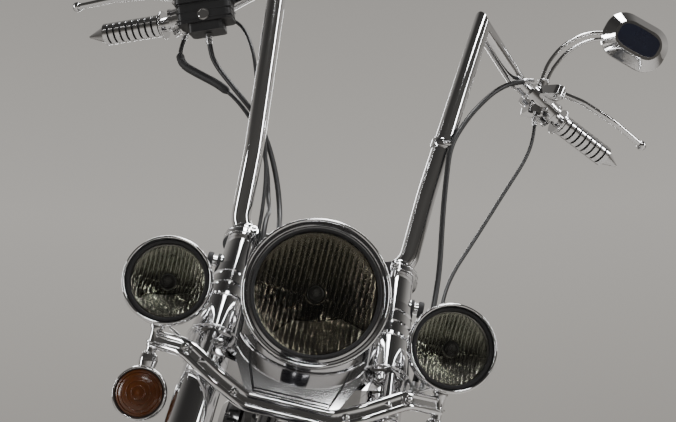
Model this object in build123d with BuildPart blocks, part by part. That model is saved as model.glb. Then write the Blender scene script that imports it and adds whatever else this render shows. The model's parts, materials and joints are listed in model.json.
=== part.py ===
from build123d import *

# A large cruiser motorcycle with tall pointed handlebars, parked on its side stand.
#
# The model is laid out upright and straight ahead, in millimetres: +Z is up, the nose points
# to -Y, the rider's left is +X, and the origin is the ground below the front axle. At the end
# the fork is turned a little to the left, the whole machine leans onto its stand, and the
# origin moves to the middle of its footprint.

import os
from math import atan2, cos, degrees, radians, sin, sqrt, tan

# Chassis
WHEELBASE = 1635.0
RAKE = 32.0
TRAIL = 147.0
STEER_LOCK = 32.0
STEER_REST = 8.0
LEAN = 10.0
BODY_GAP = 0.3
RUNNING_GAP = 0.05

# Places along the machine, from the rear axle forward
SWINGARM_PIVOT_Y = WHEELBASE - 405.0
GEARBOX_Y = SWINGARM_PIVOT_Y - 150.0
CRANK_Y = SWINGARM_PIVOT_Y - 440.0
TANK_FRONT = 488.0
TANK_END = SWINGARM_PIVOT_Y - 230.0

# Wheels and tyres
FRONT_TYRE_RADIUS = 320.0
FRONT_TYRE_WIDTH = 130.0
REAR_TYRE_RADIUS = 320.0
REAR_TYRE_WIDTH = 150.0
BEAD_RADIUS = 205.0
RIM_LIP = 12.0
RIM_WALL = 4.5
FRONT_RIM_WIDTH = 90.0
REAR_RIM_WIDTH = 106.0
SPOKE_COUNT = 40
SPOKE_RADIUS = 2.4
HUB_RADIUS = 26.0
HUB_FLANGE_RADIUS = 44.0
HUB_FLANGE_SPREAD = 48.0
AXLE_RADIUS = 12.5
AXLE_COLLAR_RADIUS = 18.0
FRONT_HUB_HALF = 70.0
REAR_HUB_HALF = 80.0
DISC_RADIUS = 146.0
DISC_THICKNESS = 5.0
DISC_CLEARANCE = 5.0

# Front fork and steering head
FORK_HALF_SPREAD = 122.0
FORK_TUBE_RADIUS = 20.5
SLIDER_RADIUS = 27.5
SLIDER_BELOW_AXLE = 40.0
SLIDER_TOP = 690.0
LOWER_CLAMP_BOTTOM = 850.0
LOWER_CLAMP_TOP = LOWER_CLAMP_BOTTOM + 34.0
UPPER_CLAMP_BOTTOM = LOWER_CLAMP_TOP + 189.0
UPPER_CLAMP_TOP = UPPER_CLAMP_BOTTOM + 18.0
LOWER_EYE_RADIUS = 32.5
UPPER_EYE_RADIUS = 30.5
STEM_RADIUS = 14.0
NECK_RADIUS = 32.0
NECK_END_GAP = 5.0
COVER_TOP_RADIUS = 25.0
COVER_RIB_RADIUS = 29.5
COVER_CONE_TOP_RADIUS = 33.0
COVER_CONE_BOTTOM_RADIUS = 36.0
COVER_RIB_BOTTOM = LOWER_CLAMP_TOP + 71.0
COVER_RIB_TOP = COVER_RIB_BOTTOM + 63.0
COVER_RIB_COUNT = 3
LOWER_COVER_RADIUS = 29.5
DOCK_RADIUS = 9.0
DOCK_LENGTH = 16.0
DOCK_COLLAR_RADIUS = 12.0
DOCK_COLLAR_HEIGHT = 2.0
DOCK_SEAT = 3.0
DOCK_SPLAY = -4.0
DOCK_ABOVE_RIBS = 14.0

# Handlebar: places on the rider's left, measured from the middle of the bar
BAR_RADIUS = 15.9
GRIP_BAR_RADIUS = 12.7
BAR_HEIGHT_UP = UPPER_CLAMP_TOP + 42.0
BAR_CLIP_RADIUS = 16.7
BAR_CLIP_WIDTH = 11.0
BAR_CLIP_SHARE = 0.27
RISER_HALF_SPREAD = 45.0
RISER_WIDTH = 38.0
RISER_DEPTH = 36.0
RISER_WALL = 9.0
BAR_HALF_FOOT = 139.0
BAR_WAIST = (147.0, -1.4, 145.2)
BAR_PEAK = (182.0, 12.6, 469.2)
BAR_KNUCKLE = (282.0, 108.6, 425.2)
GRIP_START = (374.0, 133.6, 379.2)
GRIP_TIP = (516.0, 181.6, 337.2)
GRIP_RADIUS = 20.0
GRIP_GROOVE_RADIUS = 16.5
GRIP_FLANGE_RADIUS = 25.0
GRIP_RIB_COUNT = 9
GRIP_RIB_PITCH = 12.5
SPIKE_LENGTH = 34.0

# Hand controls, mirrors and cables: places on the rider's left, measured from the middle of the bar
HOUSING_MIDDLE = (328.0, 120.6, 402.2)
HOUSING_RADIUS = 24.0
SWITCH_BOX = (46.0, 40.0, 34.0)
LEVER_PIVOT = (352.0, 77.6, 411.2)
LEVER_REACH = (400.0, 73.6, 401.2)
LEVER_BEND = (468.0, 84.6, 381.2)
LEVER_BALL = (528.0, 106.6, 361.2)
LEVER_BOSS_RADIUS = 12.0
LEVER_BOSS_HALF = 9.0
LEVER_RADIUS = 5.5
LEVER_BALL_RADIUS = 9.0
RESERVOIR_MIDDLE = (-290.0, 53.6, 375.2)
RESERVOIR_UP = Vector(-0.35, -0.10, 0.93).normalized()
RESERVOIR_ACROSS = Vector(-0.9, 0.2, -0.35)
RESERVOIR_HALF = 26.0
RESERVOIR_NECK = 16.0
RESERVOIR_LID = 9.0
MIRROR_FOOT = (330.0, 108.6, 439.2)
MIRROR_STEM = [(334.0, 102.6, 467.2), (352.0, 96.6, 505.2), (390.0, 89.6, 539.2),
               (436.0, 86.6, 551.2)]
MIRROR_CENTRE = (479.0, 94.6, 551.2)
MIRROR_WIDTH = 126.0
MIRROR_HEIGHT = 88.0
MIRROR_RIM = 9.0
MIRROR_DEPTH = 20.0
MIRROR_TIP_DOWN = 14.0
MIRROR_ROLL = 16.0
MIRROR_STEM_RADIUS = 3.5
CLUTCH_CABLE_RADIUS = 4.5
THROTTLE_CABLE_RADIUS = 4.0
HOSE_RADIUS = 4.5
WIRE_RADIUS = 3.2

# Lamps: places measured from the middle of the lower clamp
HEADLIGHT_CENTRE = (0.0, -107.4, 129.7)
HEADLIGHT_CAN_RADIUS = 97.0
HEADLIGHT_STUD_RADIUS = 9.0
HEADLIGHT_STUD_LENGTH = 44.0
HEADLIGHT_RING_RADIUS = 100.0
HEADLIGHT_GLASS_RADIUS = 82.0
LAMP_CENTRE = (198.0, -77.4, 103.7)
LAMP_RING_RADIUS = 61.0
LAMP_GLASS_RADIUS = 50.0
BULB_CAP_RADIUS = 11.0
LAMP_CAN_RADIUS = 56.0
LAMP_POST_BACK = 22.0
LAMP_POST_RADIUS = 7.0
SIGNAL_CENTRE = (196.0, -66.4, -48.3)
SIGNAL_RADIUS = 36.0
SIGNAL_LENS_RADIUS = 31.0
BAND_ROUTE = [(0.0, -105.4, -27.3), (58.0, -105.4, -27.3), (96.0, -107.4, -9.3), (150.0, -92.4, 21.7)]
BAND_END_HEIGHT = 24.7
BAND_HEIGHT = 26.0
BAND_WEB = 6.0
BAND_BEAD_RADIUS = 5.5
PANEL_BACK = 33.0
PANEL_THROAT_GAP = 1.5

# Engine and drive
CRANK_Z = 370.0
CYLINDER_ANGLE = 22.5
CYLINDER_BASE = 138.0
HEAD_BASE = 262.0
ROCKER_BASE = 328.0
ROCKER_TOP = 372.0
PORT_HEIGHT = 296.0
CYLINDER_CORE_RADIUS = 52.0
CYLINDER_FIN_RADIUS = 76.0
FIN_PITCH = 8.5
FIN_THICKNESS = 3.0
CASE_HALF_WIDTH = 85.0
CASE_BOTTOM = 232.0
PUSHROD_TUBE_RADIUS = 9.0
PUSHROD_X = -88.0
PUSHROD_BASE = 136.0
GEARBOX_Z = 330.0
EXHAUST_X = -202.0
BELT_INNER_X = 82.0
BELT_WIDTH = 28.0
BELT_THICKNESS = 6.0
FRONT_PULLEY_RADIUS = 60.0
REAR_PULLEY_RADIUS = 138.0
BELT_CLEARANCE = 1.0
PRIMARY_INNER_X = 116.0
PRIMARY_OUTER_X = 172.0

# Frame tubes and swingarm
FRAME_TUBE_RADIUS = 15.0
BACKBONE_RADIUS = 22.0
CRADLE_HALF_WIDTH = 95.0
CRADLE_Z = 165.0
SWINGARM_PIVOT_Z = 330.0
PIVOT_TUBE_RADIUS = 19.0
SWINGARM_INNER_X = 116.0
SWINGARM_WALL = 26.0

# Bodywork
FRONT_FENDER_RADIUS = 345.0
FRONT_FENDER_HALF_WIDTH = 80.0
REAR_FENDER_RADIUS = 350.0
REAR_FENDER_HALF_WIDTH = 92.0
FENDER_WALL = 3.0
FENDER_SIDE_DROP = 70.0

SIGNAL_BAR_RADIUS = 8.0
RACK_HOLE_Y = (WHEELBASE - 215.0, WHEELBASE - 15.0)
RACK_HOLE_Z = 592.0
RACK_HOLE_RADIUS = 4.25

# Side stand
STAND_PIVOT = (138.0, CRANK_Y - 70.0, 190.0)
STAND_STOWED = (0.20, 0.965, -0.17)
STAND_LEG_RADIUS = 11.0
STAND_PIN_RADIUS = 8.0
STAND_EYE_RADIUS = 16.0
STAND_EYE_HALF = 12.0
STAND_FOOT_X = 322.0
STAND_FOOT_Y = CRANK_Y - 150.0
STAND_FOOT_RADIUS = 32.0
STAND_FOOT_THICKNESS = 9.0
STAND_SWING = 80.0

# Reference lines worked out from the sizes above
UP = Vector(0, 0, 1)
LEFT = Vector(1, 0, 0)
STEER_DIRECTION = Vector(0, sin(radians(RAKE)), cos(radians(RAKE)))
STEERING = Plane(origin=(0, -TRAIL, 0), x_dir=(1, 0, 0), z_dir=STEER_DIRECTION)
FRONT_AXLE = Vector(0, 0, FRONT_TYRE_RADIUS)
REAR_AXLE = Vector(0, WHEELBASE, REAR_TYRE_RADIUS)
FORK_BACK = STEERING.to_local_coords(FRONT_AXLE).Y
AXLE_UP = STEERING.to_local_coords(FRONT_AXLE).Z
SIDES = (1, -1)
CRANK = Vector(0, CRANK_Y, CRANK_Z)
SWINGARM_PIVOT = Vector(0, SWINGARM_PIVOT_Y, SWINGARM_PIVOT_Z)


def on_steering(side, back, up):
    """Give the point at a distance sideways, behind and along the steering axis."""
    return STEERING.from_local_coords(Vector(side, back, up))


CLAMP_MIDDLE_UP = (LOWER_CLAMP_BOTTOM + LOWER_CLAMP_TOP) / 2
CLAMP_MIDDLE = on_steering(0, 0, CLAMP_MIDDLE_UP)
BAR_MIDDLE = on_steering(0, 0, BAR_HEIGHT_UP)


def by_clamp(point):
    """Give the place of a point measured from the middle of the lower clamp."""
    return CLAMP_MIDDLE + Vector(*point)


def by_bar(point):
    """Give the place of a point measured from the middle of the bar."""
    return BAR_MIDDLE + Vector(*point)


bar_waist, bar_peak, bar_knuckle = by_bar(BAR_WAIST), by_bar(BAR_PEAK), by_bar(BAR_KNUCKLE)
grip_start, grip_tip = by_bar(GRIP_START), by_bar(GRIP_TIP)
housing_middle, lever_pivot, lever_reach = by_bar(HOUSING_MIDDLE), by_bar(LEVER_PIVOT), by_bar(LEVER_REACH)
lever_pin = (lever_reach - lever_pivot).cross(Vector(0, 1, 0)).normalized()
reservoir_middle, mirror_foot = by_bar(RESERVOIR_MIDDLE), by_bar(MIRROR_FOOT)
headlight_centre, lamp_centre = by_clamp(HEADLIGHT_CENTRE), by_clamp(LAMP_CENTRE)
signal_centre = by_clamp(SIGNAL_CENTRE)


def flip(point, side):
    """Give the point on the rider's left (1) or its mirror image on the right (-1)."""
    return Vector(Vector(point).X * side, Vector(point).Y, Vector(point).Z)


def toward(start, end, distance):
    """Give the point that lies a distance from start on the way to end."""
    return Vector(start) + (Vector(end) - Vector(start)).normalized() * distance


def rod(start, end, radius, mode=Mode.ADD):
    """Run a round bar from start to end in the part being built."""
    along = Vector(end) - Vector(start)
    with BuildSketch(Plane(origin=start, z_dir=along)) as section:
        Circle(radius)
    extrude(section.sketch, amount=along.length, mode=mode)


def tube(points, bends, radius, mode=Mode.ADD, transition=Transition.TRANSFORMED):
    """Bend a round tube along straight runs joined by arcs in the part being built."""
    with BuildLine() as path:
        FilletPolyline(*points, radius=bends)
    with BuildSketch(Plane(origin=path.line @ 0, z_dir=path.line % 0)) as section:
        Circle(radius)
    sweep(section.sketch, path=path.line, transition=transition, mode=mode)


def turned(centre, direction, outline, mode=Mode.ADD):
    """Turn a closed outline of (distance along, radius) points about the line at centre."""
    across = Plane(origin=centre, z_dir=direction)
    with BuildSketch(Plane(origin=centre, x_dir=across.z_dir, z_dir=across.y_dir)) as section:
        with BuildLine():
            Polyline(*outline, close=True)
        make_face()
    revolve(section.sketch, axis=Axis(centre, direction), mode=mode)


def bend_radii(points):
    """Give each corner of a cord's route the largest arc that its two runs allow."""
    radii = []
    for before, corner, after in zip(points, points[1:], points[2:]):
        run_in = Vector(corner) - Vector(before)
        run_out = Vector(after) - Vector(corner)
        half_turn = radians(run_in.get_angle(run_out) / 2)
        radii.append(0.45 * min(run_in.length, run_out.length) / tan(half_turn))
    return radii


def finned(base, top, core, fin, pitch):
    """Outline a finned barrel from base to top, with its fins evenly spaced."""
    count = int((top - base - FIN_THICKNESS) // pitch)
    points = [(base, 0), (base, fin)]
    for index in range(count):
        fin_end = base + index * pitch + FIN_THICKNESS
        points += [(fin_end, fin), (fin_end, core), (base + (index + 1) * pitch, core)]
        points += [(base + (index + 1) * pitch, fin)]
    return points + [(top, fin), (top, 0)]


# Pose: the fork turns, the machine leans, and both tyres and the stand's foot meet the ground

def crown_depth(axle, spin_axis, radius, width):
    """Give how far below its axle a leaned tyre's round crown reaches."""
    half = width / 2
    return (radius - half) * sqrt(1 - spin_axis.Z ** 2) + half


def lean_over(vector):
    """Turn a vector as the machine leans to its left."""
    return Vector(vector).rotate(Axis.Y, LEAN)


STEER_AXIS = Axis((0, -TRAIL, 0), STEER_DIRECTION)
turned_axle = STEER_AXIS.position + (FRONT_AXLE - STEER_AXIS.position).rotate(
    Axis((0, 0, 0), STEER_DIRECTION), STEER_REST)
turned_spin = LEFT.rotate(Axis((0, 0, 0), STEER_DIRECTION), STEER_REST)
front_low = lean_over(turned_axle).Z - crown_depth(
    FRONT_AXLE, lean_over(turned_spin), FRONT_TYRE_RADIUS, FRONT_TYRE_WIDTH)
rear_low = lean_over(REAR_AXLE).Z - crown_depth(
    REAR_AXLE, lean_over(LEFT), REAR_TYRE_RADIUS, REAR_TYRE_WIDTH)
SETTLE_PITCH = degrees((rear_low - front_low) / WHEELBASE)
PARKED = Location((0, 0, -front_low)) * Location((0, 0, 0), (-SETTLE_PITCH, 0, 0)) * Location(
    (0, 0, 0), (0, LEAN, 0))


def ground_height(x, y):
    """Give the ground's height in the upright layout below a point of the plan."""
    normal = PARKED.inverse() * Location((0, 0, 1))
    base = PARKED.inverse() * Location((0, 0, 0))
    up = Vector(normal.position) - Vector(base.position)
    return Vector(base.position).Z - (up.X * (x - base.position.X) + up.Y * (y - base.position.Y)) / up.Z


GROUND_UP = Vector((PARKED.inverse() * Location((0, 0, 1))).position) - Vector(
    (PARKED.inverse() * Location((0, 0, 0))).position)
STAND_FOOT = Vector(STAND_FOOT_X, STAND_FOOT_Y, ground_height(STAND_FOOT_X, STAND_FOOT_Y))
STAND_PIN = Vector(*STAND_PIVOT)
STAND_PIN_LINE = (STAND_FOOT - STAND_PIN).cross(Vector(*STAND_STOWED)).normalized()


# Wheels: tyres, laced rims and hubs

def make_tyre(axle, crown, width, rim_width):
    """Turn a tyre with a round crown and bulged walls about its axle."""
    bead = BEAD_RADIUS + BODY_GAP
    bead_half = rim_width / 2 - RIM_WALL - BODY_GAP
    half = width / 2
    wide_at = crown - half
    wall_middle = (wide_at + bead + RIM_LIP) / 2
    with BuildSketch(Plane(origin=axle, x_dir=(1, 0, 0), z_dir=(0, -1, 0))) as section:
        with BuildLine():
            Line((-bead_half, bead), (bead_half, bead))
            Line((bead_half, bead), (bead_half, bead + RIM_LIP))
            ThreePointArc((bead_half, bead + RIM_LIP), (half * 0.9, wall_middle), (half, wide_at))
            ThreePointArc((half, wide_at), (0, crown), (-half, wide_at))
            ThreePointArc((-half, wide_at), (-half * 0.9, wall_middle), (-bead_half, bead + RIM_LIP))
            Line((-bead_half, bead + RIM_LIP), (-bead_half, bead))
        make_face()
    revolve(section.sketch, axis=Axis(axle, (1, 0, 0)))


def rim_outline(rim_width):
    """Outline a drop-centre rim as (distance along the axle, radius) points."""
    half = rim_width / 2
    well = BEAD_RADIUS - 20
    outside = [(half, BEAD_RADIUS + RIM_LIP), (half, BEAD_RADIUS - RIM_WALL), (half - 22, well - RIM_WALL)]
    inside = [(half - RIM_WALL, BEAD_RADIUS + RIM_LIP), (half - RIM_WALL, BEAD_RADIUS),
              (half - 14, BEAD_RADIUS), (half - 24, well)]
    outside_twin = [(-x, r) for x, r in reversed(outside)]
    inside_twin = [(-x, r) for x, r in inside]
    return outside + outside_twin + inside_twin + inside[::-1]


def spoke_ends(index):
    """Give the hub angle, rim angle and side of one spoke of the crossed lacing."""
    side = 1 if index % 2 else -1
    crossing = 1 if (index // 2) % 2 else -1
    rim_angle = 360 * index / SPOKE_COUNT
    return rim_angle + crossing * 38, rim_angle, side


def make_wheel(axle, rim_width, hub_half):
    """Build a laced wheel: drop-centre rim, flanged hub bored for its axle, and spokes."""
    turned(axle, (1, 0, 0), rim_outline(rim_width))
    spread, flange = HUB_FLANGE_SPREAD, HUB_FLANGE_RADIUS
    hub = [(-hub_half, 0), (-hub_half, flange), (-spread - 8, flange), (-spread + 2, flange)]
    hub += [(-spread + 10, HUB_RADIUS), (spread - 10, HUB_RADIUS), (spread - 2, flange)]
    hub += [(spread + 8, flange), (hub_half, flange), (hub_half, 0)]
    turned(axle, (1, 0, 0), hub)
    spokes = []
    for index in range(SPOKE_COUNT):
        hub_angle, rim_angle, side = spoke_ends(index)
        inner = axle + Vector(side * spread, 0, flange - 4).rotate(Axis.X, hub_angle)
        outer = axle + Vector(side * 8, 0, BEAD_RADIUS - 22).rotate(Axis.X, rim_angle)
        along = outer - inner
        spokes.append(Solid.make_cylinder(SPOKE_RADIUS, along.length, Plane(origin=inner, z_dir=along)))
    add(spokes)
    rod(axle - LEFT * (hub_half + 1), axle + LEFT * (hub_half + 1), AXLE_RADIUS + RUNNING_GAP, Mode.SUBTRACT)


def make_disc(axle, side, face_x):
    """Cut a brake disc with a slotted carrier, bolted to the hub's face."""
    with BuildSketch(Plane(origin=axle + LEFT * side * face_x, x_dir=(0, 1, 0), z_dir=(side, 0, 0))) as plate:
        Circle(DISC_RADIUS)
        Circle(HUB_RADIUS, mode=Mode.SUBTRACT)
        with PolarLocations(82, 5):
            SlotOverall(58, 30, rotation=90, mode=Mode.SUBTRACT)
        with PolarLocations(122, 15):
            Circle(5, mode=Mode.SUBTRACT)
    extrude(plate.sketch, amount=DISC_THICKNESS)


with BuildPart() as front_tyre:
    make_tyre(FRONT_AXLE, FRONT_TYRE_RADIUS, FRONT_TYRE_WIDTH, FRONT_RIM_WIDTH)

with BuildPart() as front_wheel:
    make_wheel(FRONT_AXLE, FRONT_RIM_WIDTH, FRONT_HUB_HALF)

with BuildPart() as front_disc:
    make_disc(FRONT_AXLE, 1, FRONT_HUB_HALF + BODY_GAP)

with BuildPart() as rear_tyre:
    make_tyre(REAR_AXLE, REAR_TYRE_RADIUS, REAR_TYRE_WIDTH, REAR_RIM_WIDTH)

with BuildPart() as rear_wheel:
    make_wheel(REAR_AXLE, REAR_RIM_WIDTH, REAR_HUB_HALF)

with BuildPart() as rear_disc:
    make_disc(REAR_AXLE, -1, REAR_HUB_HALF + BODY_GAP)

with BuildPart() as rear_pulley:
    pulley_face = REAR_AXLE + LEFT * (REAR_HUB_HALF + BODY_GAP)
    pulley_end = BELT_INNER_X + BELT_WIDTH - REAR_HUB_HALF - BODY_GAP
    turned(pulley_face, LEFT, [(0, HUB_RADIUS), (0, REAR_PULLEY_RADIUS), (pulley_end, REAR_PULLEY_RADIUS),
                               (pulley_end, REAR_PULLEY_RADIUS - 14), (8, REAR_PULLEY_RADIUS - 14),
                               (8, 60), (14, 50), (14, HUB_RADIUS)])
    with BuildSketch(Plane(origin=pulley_face, z_dir=(1, 0, 0))) as windows:
        with PolarLocations(90, 10):
            SlotOverall(34, 20, rotation=90)
    extrude(windows.sketch, amount=pulley_end, mode=Mode.SUBTRACT)


# Fork: clamps with the stem and risers, telescopic legs, ribbed covers, axle and caliper

def clamp_plate(bottom, top, eye_radius, stem_boss):
    """Extrude a fork clamp between two heights on the steering axis, with its two eyes."""
    for side in SIDES:
        with BuildSketch(STEERING.offset(bottom)) as arm:
            Circle(stem_boss)
            with Locations((side * FORK_HALF_SPREAD, FORK_BACK)):
                Circle(eye_radius)
            make_hull()
        extrude(arm.sketch, amount=top - bottom)
    for side in SIDES:
        eye_x = side * FORK_HALF_SPREAD
        rod(on_steering(eye_x, FORK_BACK, bottom - 1), on_steering(eye_x, FORK_BACK, top + 1),
            FORK_TUBE_RADIUS + BODY_GAP, Mode.SUBTRACT)


clutch_stop = on_steering(163, FORK_BACK, CLAMP_MIDDLE_UP)

with BuildPart() as fork_clamps:
    clamp_plate(LOWER_CLAMP_BOTTOM, LOWER_CLAMP_TOP, LOWER_EYE_RADIUS, NECK_RADIUS)
    clamp_plate(UPPER_CLAMP_BOTTOM, UPPER_CLAMP_TOP, UPPER_EYE_RADIUS, NECK_RADIUS)
    rod(on_steering(0, 0, LOWER_CLAMP_BOTTOM - 8), on_steering(0, 0, UPPER_CLAMP_TOP + 8), STEM_RADIUS)
    for side in SIDES:
        riser_face = on_steering(side * RISER_HALF_SPREAD - RISER_WIDTH / 2, 0, 0)
        with BuildSketch(Plane(origin=riser_face, x_dir=STEERING.y_dir, z_dir=LEFT)) as riser:
            with Locations((0, BAR_HEIGHT_UP)):
                Circle(BAR_RADIUS + RISER_WALL)
            with Locations((0, UPPER_CLAMP_TOP)):
                Rectangle(RISER_DEPTH, RISER_WALL)
            make_hull()
        extrude(riser.sketch, amount=RISER_WIDTH)
    rod(clutch_stop - LEFT * 12, clutch_stop + LEFT * 18, 7)
    rod(BAR_MIDDLE - LEFT * 90, BAR_MIDDLE + LEFT * 90, BAR_RADIUS + BODY_GAP, Mode.SUBTRACT)

with BuildPart() as fork_legs:
    for side in SIDES:
        leg_x = side * FORK_HALF_SPREAD
        rod(on_steering(leg_x, FORK_BACK, AXLE_UP + 120), on_steering(leg_x, FORK_BACK, UPPER_CLAMP_TOP + 6),
            FORK_TUBE_RADIUS)
        rod(on_steering(leg_x, FORK_BACK, AXLE_UP - SLIDER_BELOW_AXLE),
            on_steering(leg_x, FORK_BACK, SLIDER_TOP), SLIDER_RADIUS)
        rod(on_steering(leg_x, FORK_BACK, SLIDER_TOP - 16), on_steering(leg_x, FORK_BACK, SLIDER_TOP),
            SLIDER_RADIUS + 3)
    rod(FRONT_AXLE - LEFT * 200, FRONT_AXLE + LEFT * 200, AXLE_RADIUS + BODY_GAP, Mode.SUBTRACT)

DOCK_LINE = Vector(cos(radians(DOCK_SPLAY)), sin(radians(DOCK_SPLAY)), 0)
DOCK_FOOT = on_steering(FORK_HALF_SPREAD, FORK_BACK, COVER_RIB_TOP + DOCK_ABOVE_RIBS)
DOCK_FACE = DOCK_FOOT + DOCK_LINE * (COVER_TOP_RADIUS + DOCK_COLLAR_HEIGHT)

with BuildPart() as fork_covers:
    rib_height = (COVER_RIB_TOP - COVER_RIB_BOTTOM) / COVER_RIB_COUNT
    bore = FORK_TUBE_RADIUS + BODY_GAP
    outline = [(LOWER_CLAMP_TOP + BODY_GAP, bore), (LOWER_CLAMP_TOP + BODY_GAP, COVER_CONE_BOTTOM_RADIUS)]
    outline += [(COVER_RIB_BOTTOM - 5, COVER_CONE_TOP_RADIUS)]
    for index in range(COVER_RIB_COUNT):
        rib_bottom = COVER_RIB_BOTTOM + index * rib_height
        outline += [(rib_bottom, COVER_TOP_RADIUS), (rib_bottom + 3, COVER_RIB_RADIUS)]
        outline += [(rib_bottom + rib_height - 3, COVER_RIB_RADIUS)]
    outline += [(COVER_RIB_TOP, COVER_TOP_RADIUS), (UPPER_CLAMP_BOTTOM - BODY_GAP, COVER_TOP_RADIUS)]
    outline += [(UPPER_CLAMP_BOTTOM - BODY_GAP, bore)]
    lower = [(SLIDER_TOP + BODY_GAP, bore), (SLIDER_TOP + BODY_GAP, LOWER_COVER_RADIUS)]
    lower += [(LOWER_CLAMP_BOTTOM - BODY_GAP, LOWER_COVER_RADIUS), (LOWER_CLAMP_BOTTOM - BODY_GAP, bore)]
    for side in SIDES:
        turned(on_steering(side * FORK_HALF_SPREAD, FORK_BACK, 0), STEER_DIRECTION, outline)
        turned(on_steering(side * FORK_HALF_SPREAD, FORK_BACK, 0), STEER_DIRECTION, lower)
        dock_start = DOCK_FOOT + DOCK_LINE * (COVER_TOP_RADIUS - DOCK_SEAT)
        rod(flip(dock_start, side), flip(DOCK_FACE, side), DOCK_COLLAR_RADIUS)
        rod(flip(dock_start, side), flip(DOCK_FACE + DOCK_LINE * DOCK_LENGTH, side), DOCK_RADIUS)

with BuildPart() as front_axle:
    axle_end = FORK_HALF_SPREAD + SLIDER_RADIUS + 6
    rod(FRONT_AXLE - LEFT * axle_end, FRONT_AXLE + LEFT * axle_end, AXLE_RADIUS)
    for side in SIDES:
        rod(FRONT_AXLE + LEFT * side * (FRONT_HUB_HALF + BODY_GAP),
            FRONT_AXLE + LEFT * side * (FORK_HALF_SPREAD - SLIDER_RADIUS - BODY_GAP), AXLE_COLLAR_RADIUS)
        rod(FRONT_AXLE + LEFT * side * (FORK_HALF_SPREAD + SLIDER_RADIUS + BODY_GAP),
            FRONT_AXLE + LEFT * side * axle_end, AXLE_COLLAR_RADIUS)


def make_caliper(axle, disc_x, inner_x, outer_x, angle):
    """Build a caliper block over the disc's rim, slotted to clear the disc."""
    centre = axle + Vector(0, DISC_RADIUS - 16, 0).rotate(Axis.X, angle)
    radial = (centre - axle).normalized()
    block_plane = Plane(origin=(inner_x, centre.Y, centre.Z), x_dir=radial, z_dir=(1, 0, 0))
    with BuildSketch(block_plane) as block:
        RectangleRounded(62, 110, 14)
    extrude(block.sketch, amount=outer_x - inner_x)
    slot = Plane(origin=(disc_x - DISC_CLEARANCE, axle.Y, axle.Z), z_dir=(1, 0, 0))
    with BuildSketch(slot) as gap:
        Circle(DISC_RADIUS + DISC_CLEARANCE)
    extrude(gap.sketch, amount=DISC_THICKNESS + 2 * DISC_CLEARANCE, mode=Mode.SUBTRACT)


with BuildPart() as front_caliper:
    fork_side = FORK_HALF_SPREAD - SLIDER_RADIUS - BODY_GAP
    make_caliper(FRONT_AXLE, FRONT_HUB_HALF + BODY_GAP, 60, fork_side, 62)


# Lamps: each has a can with a bowl and a bulb, a bezel ring and a lens

with BuildPart() as headlight_shell:
    can = HEADLIGHT_CAN_RADIUS
    turned(headlight_centre, (0, 1, 0), [
        (12, can), (30, can), (60, 90), (84, 74), (102, 48), (110, 0),
        (107, 0), (99, 46), (82, 71), (58, 87), (30, can - 3), (12, can - 3)])
    arm_lean = atan2(-FORK_BACK, FORK_HALF_SPREAD)
    clamp_front = LOWER_EYE_RADIUS / cos(arm_lean) + HEADLIGHT_STUD_RADIUS * tan(arm_lean) + BODY_GAP
    rod(on_steering(0, -clamp_front, CLAMP_MIDDLE_UP),
        on_steering(0, -clamp_front - HEADLIGHT_STUD_LENGTH, CLAMP_MIDDLE_UP), HEADLIGHT_STUD_RADIUS)

with BuildPart() as headlight_reflector:
    turned(headlight_centre, (0, 1, 0), [
        (8, 93), (8, HEADLIGHT_GLASS_RADIUS), (40, 66), (62, 40), (70, 8), (14, 8), (14, BULB_CAP_RADIUS),
        (10, BULB_CAP_RADIUS), (10, 0), (74, 0), (66, 44), (44, 70), (12, 86), (12, 93)])

with BuildPart() as headlight_ring:
    inner, outer = HEADLIGHT_GLASS_RADIUS + 1, HEADLIGHT_RING_RADIUS
    turned(headlight_centre, (0, 1, 0), [
        (0, inner), (-6, inner + 2), (-7, inner + 4), (-4, inner + 6), (-3, inner + 9), (-6, outer - 5),
        (-9, outer - 3), (-8, outer - 1), (-4, outer), (16, outer), (16, can + BODY_GAP),
        (7, can + BODY_GAP), (7, inner)])

with BuildPart() as headlight_lens:
    turned(headlight_centre, (0, 1, 0), [
        (0, 0), (2, 40), (6, HEADLIGHT_GLASS_RADIUS), (2, HEADLIGHT_GLASS_RADIUS), (-2, 40), (-4, 0)])

with BuildPart() as passing_lamps:
    for side in SIDES:
        turned(flip(lamp_centre, side), (0, 1, 0), [
            (8, LAMP_CAN_RADIUS), (22, LAMP_CAN_RADIUS), (44, 46), (58, 30), (64, 0), (8.5, 0), (8.5, 7),
            (14, 8), (50, 8), (46, 26), (34, 40), (8, 49)])

with BuildPart() as passing_rings:
    for side in SIDES:
        turned(flip(lamp_centre, side), (0, 1, 0), [
            (0, LAMP_GLASS_RADIUS + 1), (-3, 53), (-3, 55), (-8, 57), (-8, 59), (-4, LAMP_RING_RADIUS),
            (13, LAMP_RING_RADIUS), (13, LAMP_CAN_RADIUS + BODY_GAP), (7, LAMP_CAN_RADIUS + BODY_GAP),
            (7, LAMP_GLASS_RADIUS + 1)])

with BuildPart() as passing_lenses:
    for side in SIDES:
        turned(flip(lamp_centre, side), (0, 1, 0), [
            (0, 0), (2, 25), (6, LAMP_GLASS_RADIUS), (2, LAMP_GLASS_RADIUS), (-2, 25), (-4, 0)])

with BuildPart() as signal_shells:
    for side in SIDES:
        turned(flip(signal_centre, side), (0, 1, 0), [
            (-4, SIGNAL_LENS_RADIUS + 1), (-6, SIGNAL_RADIUS - 2), (-2, SIGNAL_RADIUS), (20, SIGNAL_RADIUS),
            (36, 26), (48, 12), (50, 0), (2, 0), (2, SIGNAL_LENS_RADIUS + 1)])

with BuildPart() as signal_lenses:
    for side in SIDES:
        turned(flip(signal_centre, side), (0, 1, 0), [
            (2 - BODY_GAP, 0), (2 - BODY_GAP, SIGNAL_LENS_RADIUS), (-5, SIGNAL_LENS_RADIUS), (-12, 20),
            (-14, 0)])


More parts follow.
